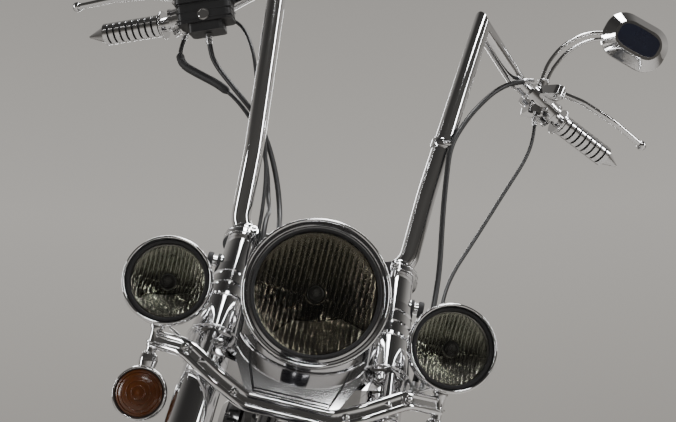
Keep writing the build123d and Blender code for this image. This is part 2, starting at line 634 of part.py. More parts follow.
def band_section(path):
    """Sketch the lamp bar's rolled channel at the start of its path: a web between two beads."""
    with BuildSketch(Plane(origin=path @ 0, x_dir=(0, 1, 0), z_dir=path % 0)) as section:
        Rectangle(BAND_WEB, BAND_HEIGHT - 2 * BAND_BEAD_RADIUS)
        with Locations((0, BAND_HEIGHT / 2 - BAND_BEAD_RADIUS), (0, BAND_BEAD_RADIUS - BAND_HEIGHT / 2)):
            Circle(BAND_BEAD_RADIUS)
    return section.sketch


with BuildPart() as lamp_bar:
    post_y = lamp_centre.Y + LAMP_POST_BACK
    band_end = Vector(lamp_centre.X, post_y, CLAMP_MIDDLE.Z + BAND_END_HEIGHT)
    band_route = [by_clamp(point) for point in BAND_ROUTE] + [band_end]
    panel_front = band_route[0].Y + BAND_WEB / 2 - 1
    panel_low = band_route[0].Z + BAND_HEIGHT / 2 - BAND_BEAD_RADIUS
    throat = headlight_centre.Z - HEADLIGHT_CAN_RADIUS - PANEL_THROAT_GAP
    with BuildSketch(Plane(origin=(0, panel_front, 0), x_dir=(1, 0, 0), z_dir=(0, -1, 0))) as panel:
        Polygon((-58, panel_low), (58, panel_low), (84, throat - 6), (90, throat + 42), (-90, throat + 42),
                (-84, throat - 6), align=None)
    extrude(panel.sketch, amount=-PANEL_BACK)
    rod(headlight_centre - UP.cross(LEFT) * 60, headlight_centre + UP.cross(LEFT) * 60,
        HEADLIGHT_CAN_RADIUS + PANEL_THROAT_GAP, Mode.SUBTRACT)
    slope_low = Vector(0, panel_front + 1, panel_low + BAND_BEAD_RADIUS / 2)
    split(bisect_by=Plane(origin=slope_low, x_dir=(1, 0, 0), z_dir=(0, 0.92, -0.39)), keep=Keep.TOP)
    for side in SIDES:
        with BuildLine() as band_path:
            FilletPolyline(*[flip(point, side) for point in band_route], radius=[40, 50, 40])
        sweep(band_section(band_path.line), path=band_path.line)
        post_x = side * lamp_centre.X
        post_foot = signal_centre.Z + SIGNAL_RADIUS + BODY_GAP
        post_top = lamp_centre.Z - LAMP_CAN_RADIUS - BODY_GAP
        height = post_top - post_foot
        turned((post_x, post_y, post_foot), UP, [
            (0, 0), (0, 12), (9, 13), (16, 11), (19, LAMP_POST_RADIUS), (height - 14, LAMP_POST_RADIUS),
            (height - 8, 8.5), (height, 8.5), (height, 0)])
        eye_front = FORK_BACK - LOWER_EYE_RADIUS - BODY_GAP
        knee = on_steering(side * FORK_HALF_SPREAD, eye_front - 14, CLAMP_MIDDLE_UP)
        rod(on_steering(side * FORK_HALF_SPREAD, eye_front, CLAMP_MIDDLE_UP), knee, 9)
        rod(flip(toward(band_route[2], band_route[3], 32), side), knee, 7)


# Handlebar, grips and hand controls

bar_last_bend = toward(grip_start, grip_tip, -8)

with BuildPart() as handlebar:
    for side in SIDES:
        route = [BAR_MIDDLE, BAR_MIDDLE + LEFT * BAR_HALF_FOOT, bar_waist, bar_peak, bar_knuckle]
        tube([flip(point, side) for point in route], [42, 500, 0], BAR_RADIUS, transition=Transition.RIGHT)
        inner_end = toward(bar_knuckle, bar_peak, 20)
        outer_end = toward(grip_start, grip_tip, 100)
        tube([flip(point, side) for point in (inner_end, bar_knuckle, bar_last_bend, outer_end)], [40, 40],
             GRIP_BAR_RADIUS)
    clip = bar_waist + (bar_peak - bar_waist) * BAR_CLIP_SHARE
    rod(clip, toward(clip, bar_peak, BAR_CLIP_WIDTH), BAR_CLIP_RADIUS)

with BuildPart() as grips:
    ribs_end = GRIP_RIB_COUNT * GRIP_RIB_PITCH + 5
    outline = [(0, GRIP_BAR_RADIUS + BODY_GAP), (0, GRIP_FLANGE_RADIUS), (5, GRIP_FLANGE_RADIUS)]
    for index in range(GRIP_RIB_COUNT):
        rib_start = 5 + index * GRIP_RIB_PITCH
        outline += [(rib_start, GRIP_GROOVE_RADIUS), (rib_start + 3, GRIP_GROOVE_RADIUS)]
        outline += [(rib_start + 4, GRIP_RADIUS), (rib_start + GRIP_RIB_PITCH, GRIP_RADIUS)]
    outline += [(ribs_end, GRIP_RADIUS - 3), (ribs_end + SPIKE_LENGTH, 2), (ribs_end + SPIKE_LENGTH, 0)]
    outline += [(101, 0), (101, GRIP_BAR_RADIUS + BODY_GAP)]
    for side in SIDES:
        start = flip(grip_start, side)
        turned(start, flip(grip_tip, side) - start, outline)

with BuildPart() as control_housings:
    grip_line = (bar_knuckle - bar_last_bend).normalized()
    reach = lever_pivot - housing_middle
    perch_reach = reach - lever_pin * reach.dot(lever_pin)
    perch_face = lever_pivot - lever_pin * LEVER_BOSS_HALF
    for side in SIDES:
        near = flip(toward(bar_last_bend, bar_knuckle, 6), side)
        far = flip(toward(bar_last_bend, bar_knuckle, 70), side)
        rod(near, far, HOUSING_RADIUS)
        rod(near, toward(near, far, 5), HOUSING_RADIUS + 2)
        with BuildSketch(Plane(origin=flip(perch_face, side), x_dir=flip(perch_reach, side) * -1,
                               z_dir=flip(lever_pin, side))) as perch:
            Circle(LEVER_BOSS_RADIUS)
            with Locations((perch_reach.length, 0)):
                Circle(HOUSING_RADIUS - 5)
            make_hull()
        extrude(perch.sketch, amount=2 * LEVER_BOSS_HALF)
        rod(flip(housing_middle, side), flip(mirror_foot, side), 10)
        box_middle = flip(housing_middle - UP * SWITCH_BOX[2] / 2, side)
        with BuildSketch(Plane(origin=box_middle, x_dir=flip(grip_line, side), z_dir=(0, 0, -1))) as switches:
            RectangleRounded(SWITCH_BOX[0], SWITCH_BOX[1], 9)
        extrude(switches.sketch, amount=SWITCH_BOX[2] / 2 - 5)
        rod(toward(near, far, -10), toward(near, far, 90), GRIP_BAR_RADIUS + BODY_GAP, Mode.SUBTRACT)


with BuildPart() as clutch_lever:
    route = [toward(lever_pivot, lever_reach, LEVER_BOSS_RADIUS + BODY_GAP), lever_reach, by_bar(LEVER_BEND),
             by_bar(LEVER_BALL)]
    tube(route, [60, 120], LEVER_RADIUS)
    with Locations(by_bar(LEVER_BALL)):
        Sphere(LEVER_BALL_RADIUS)

with BuildPart() as brake_lever:
    mirror(clutch_lever.part, about=Plane.YZ)

with BuildPart() as brake_reservoir:
    reservoir = Plane(origin=reservoir_middle, x_dir=RESERVOIR_ACROSS, z_dir=RESERVOIR_UP)
    with BuildSketch(reservoir.offset(-RESERVOIR_HALF)) as neck:
        RectangleRounded(62, 42, 8)
    extrude(neck.sketch, amount=RESERVOIR_NECK)
    with BuildSketch(reservoir.offset(RESERVOIR_NECK - RESERVOIR_HALF)) as bowl:
        RectangleRounded(96, 48, 10)
    extrude(bowl.sketch, amount=2 * RESERVOIR_HALF - RESERVOIR_NECK)
    with BuildSketch(reservoir.offset(RESERVOIR_HALF)) as lid:
        RectangleRounded(101, 53, 12)
    extrude(lid.sketch, amount=RESERVOIR_LID)

with BuildPart() as mirrors:
    stem = [by_bar(point) for point in MIRROR_STEM]
    face = Vector(0, -1, 0).rotate(Axis.X, MIRROR_TIP_DOWN)
    along = Vector(cos(radians(MIRROR_ROLL)), 0, -sin(radians(MIRROR_ROLL)))
    for side in SIDES:
        for shift in (Vector(-5, 0, 5), Vector(5, 0, -5)):
            route = [mirror_foot + Vector(shift.X, 0, 1.5)] + [point + shift for point in stem]
            tube([flip(point, side) for point in route], bend_radii(route), MIRROR_STEM_RADIUS)
        back = Plane(origin=flip(by_bar(MIRROR_CENTRE), side), x_dir=flip(along, side), z_dir=face)
        rims = []
        for step, narrower in ((0, 8), (3, 0), (MIRROR_RIM, 0), (MIRROR_RIM + MIRROR_DEPTH, 34)):
            with BuildSketch(back.offset(step)) as rim:
                RectangleRounded(MIRROR_WIDTH - narrower, MIRROR_HEIGHT - narrower, 38 - narrower / 3)
            rims.append(rim.sketch)
        loft(rims, ruled=True)


# Cables and hoses that run from the hand controls down behind the headlight

def cord(name, route, radius):
    """Run a cable along its route with the largest arcs that its runs allow, and report them."""
    points = [Vector(*point) for point in route]
    radii = bend_radii(points)
    print(name, "bend radii", [round(bend) for bend in radii])
    tube(points, radii, radius)


with BuildPart() as clutch_cable:
    clutch_end = clutch_stop + UP * (7 + BODY_GAP)
    cord("clutch cable", [
        (306, 540, 1384), (276, 536, 1376), (240, 524, 1346), (206, 496, 1290), (182, 450, 1236),
        (167, 436, 1190), (170, 434, 1140), (177, 430, 1066), (188, 420, 980), (186, 392, 915),
        (180, 350, 855), clutch_end + Vector(2, 8, 42), clutch_end], CLUTCH_CABLE_RADIUS)

with BuildPart() as switch_wires:
    cord("left switch wire", [
        housing_middle - UP * 30.5, (331, 566, 1300), (323, 550, 1245), (290, 528, 1165), (248, 492, 1060),
        (208, 444, 970), (198, 392, 900), (182, 350, 846), clutch_end + Vector(13, 14, 36),
        clutch_end + LEFT * 12 + UP], WIRE_RADIUS)
    inner_face = toward(bar_last_bend, bar_knuckle, 70 + BODY_GAP) + Vector(-8, -2, -16)
    cord("right switch wire", [
        flip(inner_face, -1), flip(inner_face + grip_line * 26, -1),
        (-246, 541, 1362), (-218, 512, 1334), (-192, 488, 1286), (-176, 480, 1240), (-158, 478, 1196),
        (-140, 478, 1150), (-122, 474, 1090), (-112, 454, 1036), on_steering(-105, -24, UPPER_CLAMP_TOP + 34),
        on_steering(-105, -24, UPPER_CLAMP_TOP + BODY_GAP)], WIRE_RADIUS)

with BuildPart() as brake_hose:
    hose_start = reservoir_middle - RESERVOIR_UP * (RESERVOIR_HALF + BODY_GAP)
    cord("brake hose", [
        hose_start, hose_start - RESERVOIR_UP * 24, (-258, 512, 1262), (-206, 488, 1214), (-160, 488, 1178),
        (-126, 486, 1130), (-98, 472, 1070), (-80, 446, 1012), (-76, 408, 984), (-70, 368, 962),
        (-64, 340, 915), (-58, 324, 860), on_steering(-50, -22, LOWER_CLAMP_TOP + 45),
        on_steering(-50, -22, LOWER_CLAMP_TOP + BODY_GAP)], HOSE_RADIUS)

with BuildPart() as throttle_cable:
    cord("throttle cable", [
        flip(housing_middle - UP * 30.5, -1), (-333, 572, 1300), (-322, 556, 1262), (-280, 532, 1242),
        (-236, 510, 1224), (-196, 502, 1200), (-152, 502, 1158), (-122, 500, 1100), (-106, 490, 1040),
        (-97, 434, 1008), (-97, 372, 985), (-92, 344, 935), (-82, 334, 880),
        on_steering(-70, -25, LOWER_CLAMP_TOP + 50), on_steering(-70, -25, LOWER_CLAMP_TOP + BODY_GAP)],
         THROTTLE_CABLE_RADIUS)


# Front fender

def fender_section(axle, radius, half_width, start_angle):
    """Sketch a fender's cross-section at one end: a curved crown with straight sides."""
    plane = Plane(origin=axle, x_dir=(1, 0, 0), z_dir=Vector(0, -1, 0).rotate(Axis.X, start_angle))
    inner_half = half_width - FENDER_WALL
    shoulder = radius - 26
    with BuildSketch(plane) as section:
        with BuildLine():
            foot = radius - FENDER_SIDE_DROP
            Line((half_width, foot), (half_width, shoulder))
            ThreePointArc((half_width, shoulder), (0, radius), (-half_width, shoulder))
            Line((-half_width, shoulder), (-half_width, foot))
            Line((-half_width, foot), (-inner_half, foot))
            Line((-inner_half, foot), (-inner_half, shoulder))
            ThreePointArc((-inner_half, shoulder), (0, radius - FENDER_WALL), (inner_half, shoulder))
            Line((inner_half, shoulder), (inner_half, foot))
            Line((inner_half, foot), (half_width, foot))
        make_face()
    return section.sketch


with BuildPart() as front_fender:
    revolve(fender_section(FRONT_AXLE, FRONT_FENDER_RADIUS, FRONT_FENDER_HALF_WIDTH, -100),
            axis=Axis(FRONT_AXLE, (1, 0, 0)), revolution_arc=145)
    for side in SIDES:
        mount_x = FORK_HALF_SPREAD - SLIDER_RADIUS - BODY_GAP
        leg_side = on_steering(side * mount_x, FORK_BACK, AXLE_UP + FRONT_FENDER_RADIUS - 55)
        rod(leg_side, leg_side - LEFT * side * (mount_x - FRONT_FENDER_HALF_WIDTH + 2), 11)


# Frame, swingarm and rear axle

NECK_BOTTOM = LOWER_CLAMP_TOP + NECK_END_GAP
NECK_TOP = UPPER_CLAMP_BOTTOM - NECK_END_GAP


def plate(side, inner_x, outer_x, outline, radius, mode=Mode.ADD):
    """Extrude a rounded side plate of (y, z) corners between two distances from the middle."""
    with BuildSketch(Plane(origin=(side * inner_x, 0, 0), x_dir=(0, 1, 0), z_dir=(1, 0, 0))) as profile:
        with BuildLine():
            FilletPolyline(*outline, radius=radius, close=True)
        make_face()
    extrude(profile.sketch, amount=side * (outer_x - inner_x), mode=mode)


SEAT_RAIL_Y = SWINGARM_PIVOT_Y - 40.0
BACKBONE_ROUTE = [(0, 392, 815), (0, 560, 795), (0, TANK_END - 15, 775), (0, TANK_END + 60, 660),
                  (0, SEAT_RAIL_Y, 610)]
BACKBONE_BENDS = [300, 60, 60]
REAR_TUBE_X = 60.0


def backbone(clearance, mode=Mode.ADD):
    """Run the backbone tube from the neck over the engine and down under the seat."""
    tube(BACKBONE_ROUTE, BACKBONE_BENDS, BACKBONE_RADIUS + clearance, mode)


def side_rail(side, clearance=0, mode=Mode.ADD):
    """Run one side of the cradle: down from the neck, along below the engine and up to the seat."""
    rail_x, rear_x = side * CRADLE_HALF_WIDTH, side * REAR_TUBE_X
    route = [(side * 16, 368, 772), (side * 60, 440, 600), (rail_x, CRANK_Y - 260, 230),
             (rail_x, CRANK_Y - 210, CRADLE_Z), (rail_x, CRANK_Y + 170, CRADLE_Z),
             (rear_x, SWINGARM_PIVOT_Y - 130, CRADLE_Z), (rear_x, SWINGARM_PIVOT_Y - 30, CRADLE_Z),
             (rear_x, SWINGARM_PIVOT_Y + 6, SWINGARM_PIVOT_Z), (rear_x, SEAT_RAIL_Y, 600),
             (side * 14, SEAT_RAIL_Y - 100, 648)]
    tube(route, [200, 60, 50, 90, 90, 50, 120, 60], FRAME_TUBE_RADIUS + clearance, mode)


def stand_lug(near, far, radius, mode=Mode.ADD):
    """Run a round along the side stand's pin, between two distances from its pivot."""
    rod(STAND_PIN + STAND_PIN_LINE * near, STAND_PIN + STAND_PIN_LINE * far, radius, mode)


with BuildPart() as frame:
    rod(on_steering(0, 0, NECK_BOTTOM), on_steering(0, 0, NECK_TOP), NECK_RADIUS)
    backbone(0)
    pivot_plate = [(SWINGARM_PIVOT_Y + y, SWINGARM_PIVOT_Z + z) for y, z in (
        (-35, -50), (32, -50), (32, 50), (-35, 50))]
    for side in SIDES:
        side_rail(side)
        plate(side, REAR_TUBE_X - 12, REAR_TUBE_X + 12, pivot_plate, 14)
    for y in (CRANK_Y - 190, CRANK_Y + 130):
        rod((-CRADLE_HALF_WIDTH, y, CRADLE_Z), (CRADLE_HALF_WIDTH, y, CRADLE_Z), FRAME_TUBE_RADIUS - 2)
    rod((-REAR_FENDER_HALF_WIDTH, SEAT_RAIL_Y, 600), (REAR_FENDER_HALF_WIDTH, SEAT_RAIL_Y, 600),
        FRAME_TUBE_RADIUS - 2)
    rod(SWINGARM_PIVOT - LEFT * 100, SWINGARM_PIVOT + LEFT * 100, PIVOT_TUBE_RADIUS + BODY_GAP, Mode.SUBTRACT)
    rod((CRADLE_HALF_WIDTH, STAND_PIN.Y, CRADLE_Z), STAND_PIN - STAND_PIN_LINE * (STAND_EYE_HALF + 16), 10)
    stand_lug(-STAND_EYE_HALF - 20, -STAND_EYE_HALF - BODY_GAP, STAND_EYE_RADIUS)
    stand_lug(-STAND_EYE_HALF - 2, STAND_EYE_HALF + 4, STAND_PIN_RADIUS)
    stand_lug(STAND_EYE_HALF + BODY_GAP, STAND_EYE_HALF + 5, STAND_PIN_RADIUS + 4)
    rod(on_steering(0, 0, NECK_BOTTOM - 1), on_steering(0, 0, NECK_TOP + 1), STEM_RADIUS + RUNNING_GAP,
        Mode.SUBTRACT)


with BuildPart() as swingarm:
    arm_outer = SWINGARM_INNER_X + SWINGARM_WALL
    for side in SIDES:
        plate(side, SWINGARM_INNER_X, arm_outer, [
            (SWINGARM_PIVOT_Y - 34, SWINGARM_PIVOT_Z - 26), (SWINGARM_PIVOT_Y + 60, SWINGARM_PIVOT_Z - 28),
            (WHEELBASE + 45, REAR_TYRE_RADIUS - 22), (WHEELBASE + 45, REAR_TYRE_RADIUS + 22),
            (SWINGARM_PIVOT_Y + 60, SWINGARM_PIVOT_Z + 34),
            (SWINGARM_PIVOT_Y - 34, SWINGARM_PIVOT_Z + 26)], 16)
    rod(SWINGARM_PIVOT - LEFT * (SWINGARM_INNER_X + 2), SWINGARM_PIVOT + LEFT * (SWINGARM_INNER_X + 2),
        PIVOT_TUBE_RADIUS)
    rod(REAR_AXLE - LEFT * 200, REAR_AXLE + LEFT * 200, AXLE_RADIUS + BODY_GAP, Mode.SUBTRACT)

with BuildPart() as rear_axle:
    rear_axle_end = SWINGARM_INNER_X + SWINGARM_WALL + 10
    rod(REAR_AXLE - LEFT * rear_axle_end, REAR_AXLE + LEFT * rear_axle_end, AXLE_RADIUS)
    for side in SIDES:
        rod(REAR_AXLE + LEFT * side * (REAR_HUB_HALF + BODY_GAP),
            REAR_AXLE + LEFT * side * (SWINGARM_INNER_X - BODY_GAP), AXLE_COLLAR_RADIUS)
        rod(REAR_AXLE + LEFT * side * (SWINGARM_INNER_X + SWINGARM_WALL + BODY_GAP),
            REAR_AXLE + LEFT * side * rear_axle_end, AXLE_COLLAR_RADIUS)

with BuildPart() as rear_caliper:
    caliper_outer = -SWINGARM_INNER_X + BODY_GAP
    make_caliper(REAR_AXLE, -REAR_HUB_HALF - BODY_GAP - DISC_THICKNESS, caliper_outer, -62, 165)


# Engine: crankcase, finned cylinders, heads, pushrod tubes, air cleaner and primary drive

def cylinder_line(lean_side):
    """Give the direction of a cylinder: the front one (-1) leans forward, the rear one (1) back."""
    return Vector(0, lean_side * sin(radians(CYLINDER_ANGLE)), cos(radians(CYLINDER_ANGLE)))


def head_port(lean_side, outward):
    """Give the point on a head's fins that faces a direction square to its cylinder."""
    return CRANK + cylinder_line(lean_side) * PORT_HEIGHT + outward * (CYLINDER_FIN_RADIUS + 2 + BODY_GAP)


CYLINDERS = {"front": -1, "rear": 1}
cylinder_parts = {}
head_parts = {}
for name, lean_side in CYLINDERS.items():
    with BuildPart() as barrel:
        turned(CRANK, cylinder_line(lean_side), finned(
            CYLINDER_BASE, HEAD_BASE - BODY_GAP, CYLINDER_CORE_RADIUS, CYLINDER_FIN_RADIUS, FIN_PITCH))
        split(bisect_by=Plane(origin=(0, CRANK_Y + lean_side * 1.5, 0), z_dir=(0, lean_side, 0)),
              keep=Keep.TOP)
    cylinder_parts[name] = barrel
    with BuildPart() as head:
        turned(CRANK, cylinder_line(lean_side),
               finned(HEAD_BASE, ROCKER_BASE, CYLINDER_CORE_RADIUS + 10, CYLINDER_FIN_RADIUS + 2, FIN_PITCH))
        cover = Plane(origin=CRANK + cylinder_line(lean_side) * (ROCKER_BASE - 4), x_dir=(1, 0, 0),
                      z_dir=cylinder_line(lean_side))
        with BuildSketch(cover):
            RectangleRounded(176, 124, 26)
        extrude(amount=ROCKER_TOP - ROCKER_BASE + 4)
    head_parts[name] = head

with BuildPart() as crankcase:
    plate(1, -CASE_HALF_WIDTH, CASE_HALF_WIDTH, [(CRANK_Y + y, z) for y, z in (
        (-135, 330), (-100, CASE_BOTTOM), (115, CASE_BOTTOM), (145, 300), (140, 430), (90, 464),
        (-90, 464), (-135, 430))], 24)
    for lean_side in CYLINDERS.values():
        line = cylinder_line(lean_side)
        rod(CRANK + line * 20, CRANK + line * (CYLINDER_BASE - BODY_GAP), CYLINDER_FIN_RADIUS)
    for y in (CRANK_Y - 90, CRANK_Y + 90):
        with BuildSketch(Plane.XY.offset(CRADLE_Z + FRAME_TUBE_RADIUS + BODY_GAP)):
            with Locations((0, y)):
                Rectangle(2 * CRADLE_HALF_WIDTH, 40)
        extrude(amount=CASE_BOTTOM - CRADLE_Z)
    turned((0, CRANK_Y, CRANK_Z), (1, 0, 0), [(0, 0), (0, 70), (PRIMARY_INNER_X - BODY_GAP, 70),
                                              (PRIMARY_INNER_X - BODY_GAP, 0)])
    turned((0, CRANK_Y - 10, CRANK_Z + 20), (-1, 0, 0), [(0, 0), (0, 92), (104, 92), (112, 84), (112, 0)])
    for lean_side in CYLINDERS.values():
        line = cylinder_line(lean_side)
        tappets = CRANK + LEFT * PUSHROD_X
        rod(tappets + line * 70, tappets + line * (PUSHROD_BASE - BODY_GAP), 26)
        rod(CRANK + line * (CYLINDER_BASE - BODY_GAP), CRANK + line * HEAD_BASE,
            CYLINDER_FIN_RADIUS + BODY_GAP, Mode.SUBTRACT)

with BuildPart() as pushrod_tubes:
    for lean_side in CYLINDERS.values():
        line = cylinder_line(lean_side)
        for along in (-14, 14):
            foot = CRANK + LEFT * PUSHROD_X + line * PUSHROD_BASE + line.rotate(Axis.X, 90) * along
            top = foot + line * (ROCKER_BASE - 4 - PUSHROD_BASE - BODY_GAP)
            rod(foot, top, PUSHROD_TUBE_RADIUS)
            rod(foot, foot + line * 26, PUSHROD_TUBE_RADIUS + 2)

with BuildPart() as air_cleaner:
    turned((-118, CRANK_Y, 640), (-1, 0, 0), [
        (0, 0), (0, 92), (6, 96), (30, 96), (44, 84), (50, 40), (52, 0)])
    rod((-119, CRANK_Y, 640), (16, CRANK_Y, 640), 26)
    for lean_side in CYLINDERS.values():
        inward = cylinder_line(lean_side).rotate(Axis.X, 90 * lean_side)
        port = head_port(lean_side, inward)
        rod(port, port + inward * 46, 15)
    rod((0, CRANK_Y, 640), (0, CRANK_Y, 698), 18)

with BuildPart() as gearbox:
    plate(1, -96, 74, [(GEARBOX_Y + y, z) for y, z in (
        (-130, 262), (70, 262), (96, 300), (90, 440), (20, 470), (-120, 440))], 22)
    rod((73, GEARBOX_Y, GEARBOX_Z), (BELT_INNER_X + BELT_WIDTH, GEARBOX_Y, GEARBOX_Z), 22)
    rod((BELT_INNER_X, GEARBOX_Y, GEARBOX_Z), (BELT_INNER_X + BELT_WIDTH, GEARBOX_Y, GEARBOX_Z),
        FRONT_PULLEY_RADIUS)
    for y in (GEARBOX_Y - 90, GEARBOX_Y + 30):
        with BuildSketch(Plane.XY.offset(CRADLE_Z + FRAME_TUBE_RADIUS + BODY_GAP)):
            with Locations((-10, y)):
                Rectangle(160, 36)
        extrude(amount=90)

with BuildPart() as primary_cover:
    with BuildSketch(Plane(origin=(PRIMARY_INNER_X, 0, 0), x_dir=(0, 1, 0), z_dir=(1, 0, 0))) as cover:
        with Locations((CRANK_Y, CRANK_Z)):
            Circle(88)
        with Locations((GEARBOX_Y + 4, CRANK_Z - 10)):
            Circle(100)
        make_hull()
    extrude(cover.sketch, amount=PRIMARY_OUTER_X - PRIMARY_INNER_X)
    fillet(primary_cover.faces().sort_by(Axis.X)[-1].edges(), radius=18)

with BuildPart() as drive_belt:
    belt_plane = Plane(origin=(BELT_INNER_X, 0, 0), x_dir=(0, 1, 0), z_dir=(1, 0, 0))
    belt_radii = [(GEARBOX_Y, GEARBOX_Z, FRONT_PULLEY_RADIUS),
                  (WHEELBASE, REAR_TYRE_RADIUS, REAR_PULLEY_RADIUS)]
    for extra, mode in ((BELT_CLEARANCE + BELT_THICKNESS, Mode.ADD), (BELT_CLEARANCE, Mode.SUBTRACT)):
        with BuildSketch(belt_plane) as loop:
            for y, z, radius in belt_radii:
                with Locations((y, z)):
                    Circle(radius + extra)
            make_hull()
        extrude(loop.sketch, amount=BELT_WIDTH, mode=mode)

with BuildPart() as oil_tank:
    plate(1, -88, 88, [(SWINGARM_PIVOT_Y + y, z) for y, z in (
        (-2.9, 474), (66, 474), (82, 580), (-21, 580))], 20)


# Exhaust: two headers down the right side into staggered mufflers

def exhaust_port(lean_side, sideways):
    """Give a head's exhaust port and its outward direction, turned to the right by sideways."""
    line = cylinder_line(lean_side)
    outward = (line.rotate(Axis.X, -90 * lean_side) - LEFT * sideways).normalized()
    return head_port(lean_side, outward), outward


def muffler(y, z):
    """Turn a straight muffler with a tapered mouth and an open end, running to the rear."""
    turned((EXHAUST_X, y, z), (0, 1, 0), [
        (0, 0), (0, 24), (70, 46), (700, 46), (712, 42), (712, 34), (690, 34), (690, 0)])


with BuildPart() as exhaust_front:
    port, outward = exhaust_port(-1, 0.3)
    tube([port, port + outward * 72, (-130, CRANK_Y - 200, 470), (-150, CRANK_Y - 150, 250),
          (-172, CRANK_Y - 30, 205), (EXHAUST_X, CRANK_Y + 362, 205)], [50, 90, 80, 120], 22)
    muffler(CRANK_Y + 360, 205)

with BuildPart() as exhaust_rear:
    port, outward = exhaust_port(1, 1.6)
    tube([port, port + outward * 70, (-172, CRANK_Y + 260, 400), (EXHAUST_X, CRANK_Y + 370, 306),
          (EXHAUST_X, CRANK_Y + 462, 306)], [50, 70, 60], 22)
    muffler(CRANK_Y + 460, 306)


# Tank, dash, seat and rear end

def loft_rounded(sections, mode=Mode.ADD):
    """Loft rounded rectangles given as (y, middle z, width, height, corner radius)."""
    profiles = []
    for y, middle, width, height, corner in sections:
        with BuildSketch(Plane(origin=(0, y, middle), x_dir=(-1, 0, 0), z_dir=(0, 1, 0))) as profile:
            RectangleRounded(width, height, corner)
        profiles.append(profile.sketch)
    loft(profiles, mode=mode)


TANK_LENGTH = TANK_END - TANK_FRONT

with BuildPart() as fuel_tank:
    loft_rounded([(TANK_FRONT + share * TANK_LENGTH, *section) for share, *section in (
        (0, 828, 150, 90, 40), (0.22, 822, 290, 140, 60), (0.53, 820, 310, 146, 62), (1, 800, 150, 90, 40))])
    with BuildSketch(Plane.XZ.offset(8 - TANK_FRONT)):
        with Locations((0, 790)):
            Rectangle(2 * (BACKBONE_RADIUS + BODY_GAP), 84)
    extrude(amount=-TANK_LENGTH - 28, mode=Mode.SUBTRACT)

with BuildPart() as dash:
    turned((0, TANK_FRONT + 0.316 * TANK_LENGTH, 896), (0, 0, 1), [
        (0, 0), (0, 52), (22, 56), (30, 52), (30, 0)])

with BuildPart() as seat:
    loft_rounded([(SWINGARM_PIVOT_Y + y, *section) for y, *section in (
        (-220, 716, 150, 60, 24), (-110, 690, 300, 76, 30), (20, 680, 340, 84, 34), (110, 700, 270, 90, 34),
        (250, 716, 220, 66, 26))])
    rod(REAR_AXLE - LEFT * 300, REAR_AXLE + LEFT * 300, REAR_FENDER_RADIUS + BODY_GAP, Mode.SUBTRACT)
    backbone(BODY_GAP, Mode.SUBTRACT)
    for side in SIDES:
        side_rail(side, BODY_GAP, Mode.SUBTRACT)

with BuildPart() as rear_fender:
    revolve(fender_section(REAR_AXLE, REAR_FENDER_RADIUS, REAR_FENDER_HALF_WIDTH, -100),
            axis=Axis(REAR_AXLE, (1, 0, 0)), revolution_arc=158)

with BuildPart() as fender_struts:
    for side in SIDES:
        plate(side, REAR_FENDER_HALF_WIDTH + BODY_GAP, REAR_FENDER_HALF_WIDTH + 12, [
            (WHEELBASE + y, z) for y, z in ((-455, 570), (-435, 618), (65, 606), (155, 560), (145, 540),
                                            (55, 566))], 8)
    for y in RACK_HOLE_Y:
        rod((-200, y, RACK_HOLE_Z), (200, y, RACK_HOLE_Z), RACK_HOLE_RADIUS, Mode.SUBTRACT)

with BuildPart() as tail_lamp:
    tail_line = Vector(0, cos(radians(20)), sin(radians(20)))
    turned(REAR_AXLE + tail_line * (REAR_FENDER_RADIUS + BODY_GAP), tail_line, [
        (0, 0), (0, 34), (14, 40), (34, 40), (40, 30), (42, 0)])

with BuildPart() as rear_signals:
    bar_distance = REAR_FENDER_RADIUS + SIGNAL_BAR_RADIUS + BODY_GAP
    signal_line = REAR_AXLE + Vector(0, bar_distance, 0).rotate(Axis.X, 36)
    rod(signal_line - LEFT * 150, signal_line + LEFT * 150, SIGNAL_BAR_RADIUS)
    for side in SIDES:
        turned(signal_line + LEFT * side * 150 + Vector(0, -30, 0), (0, 1, 0), [
            (0, 0), (4, 14), (30, 34), (48, 35), (54, 30), (58, 0)])

with BuildPart() as floorboards:
    for side in SIDES:
        with BuildSketch(Plane(origin=(side * 250, CRANK_Y - 150, 262), z_dir=(0, 0, 1))):
            RectangleRounded(110, 280, 40)
        extrude(amount=14)
        for y in (CRANK_Y - 170, CRANK_Y - 135):
            rail, board = (side * CRADLE_HALF_WIDTH, y, CRADLE_Z), (side * 240, y, 258)
            rod(toward(rail, board, FRAME_TUBE_RADIUS + BODY_GAP), board, 9)

with BuildPart() as side_stand:
    stand_lug(-STAND_EYE_HALF, STAND_EYE_HALF, STAND_EYE_RADIUS)
    rod(STAND_PIN, STAND_FOOT + GROUND_UP * 15, STAND_LEG_RADIUS)
    rod(STAND_FOOT, STAND_FOOT + GROUND_UP * STAND_FOOT_THICKNESS, STAND_FOOT_RADIUS)
    stand_lug(-STAND_EYE_HALF - 1, STAND_EYE_HALF + 1, STAND_PIN_RADIUS + RUNNING_GAP, Mode.SUBTRACT)


# Sheet of nodes, poses and export

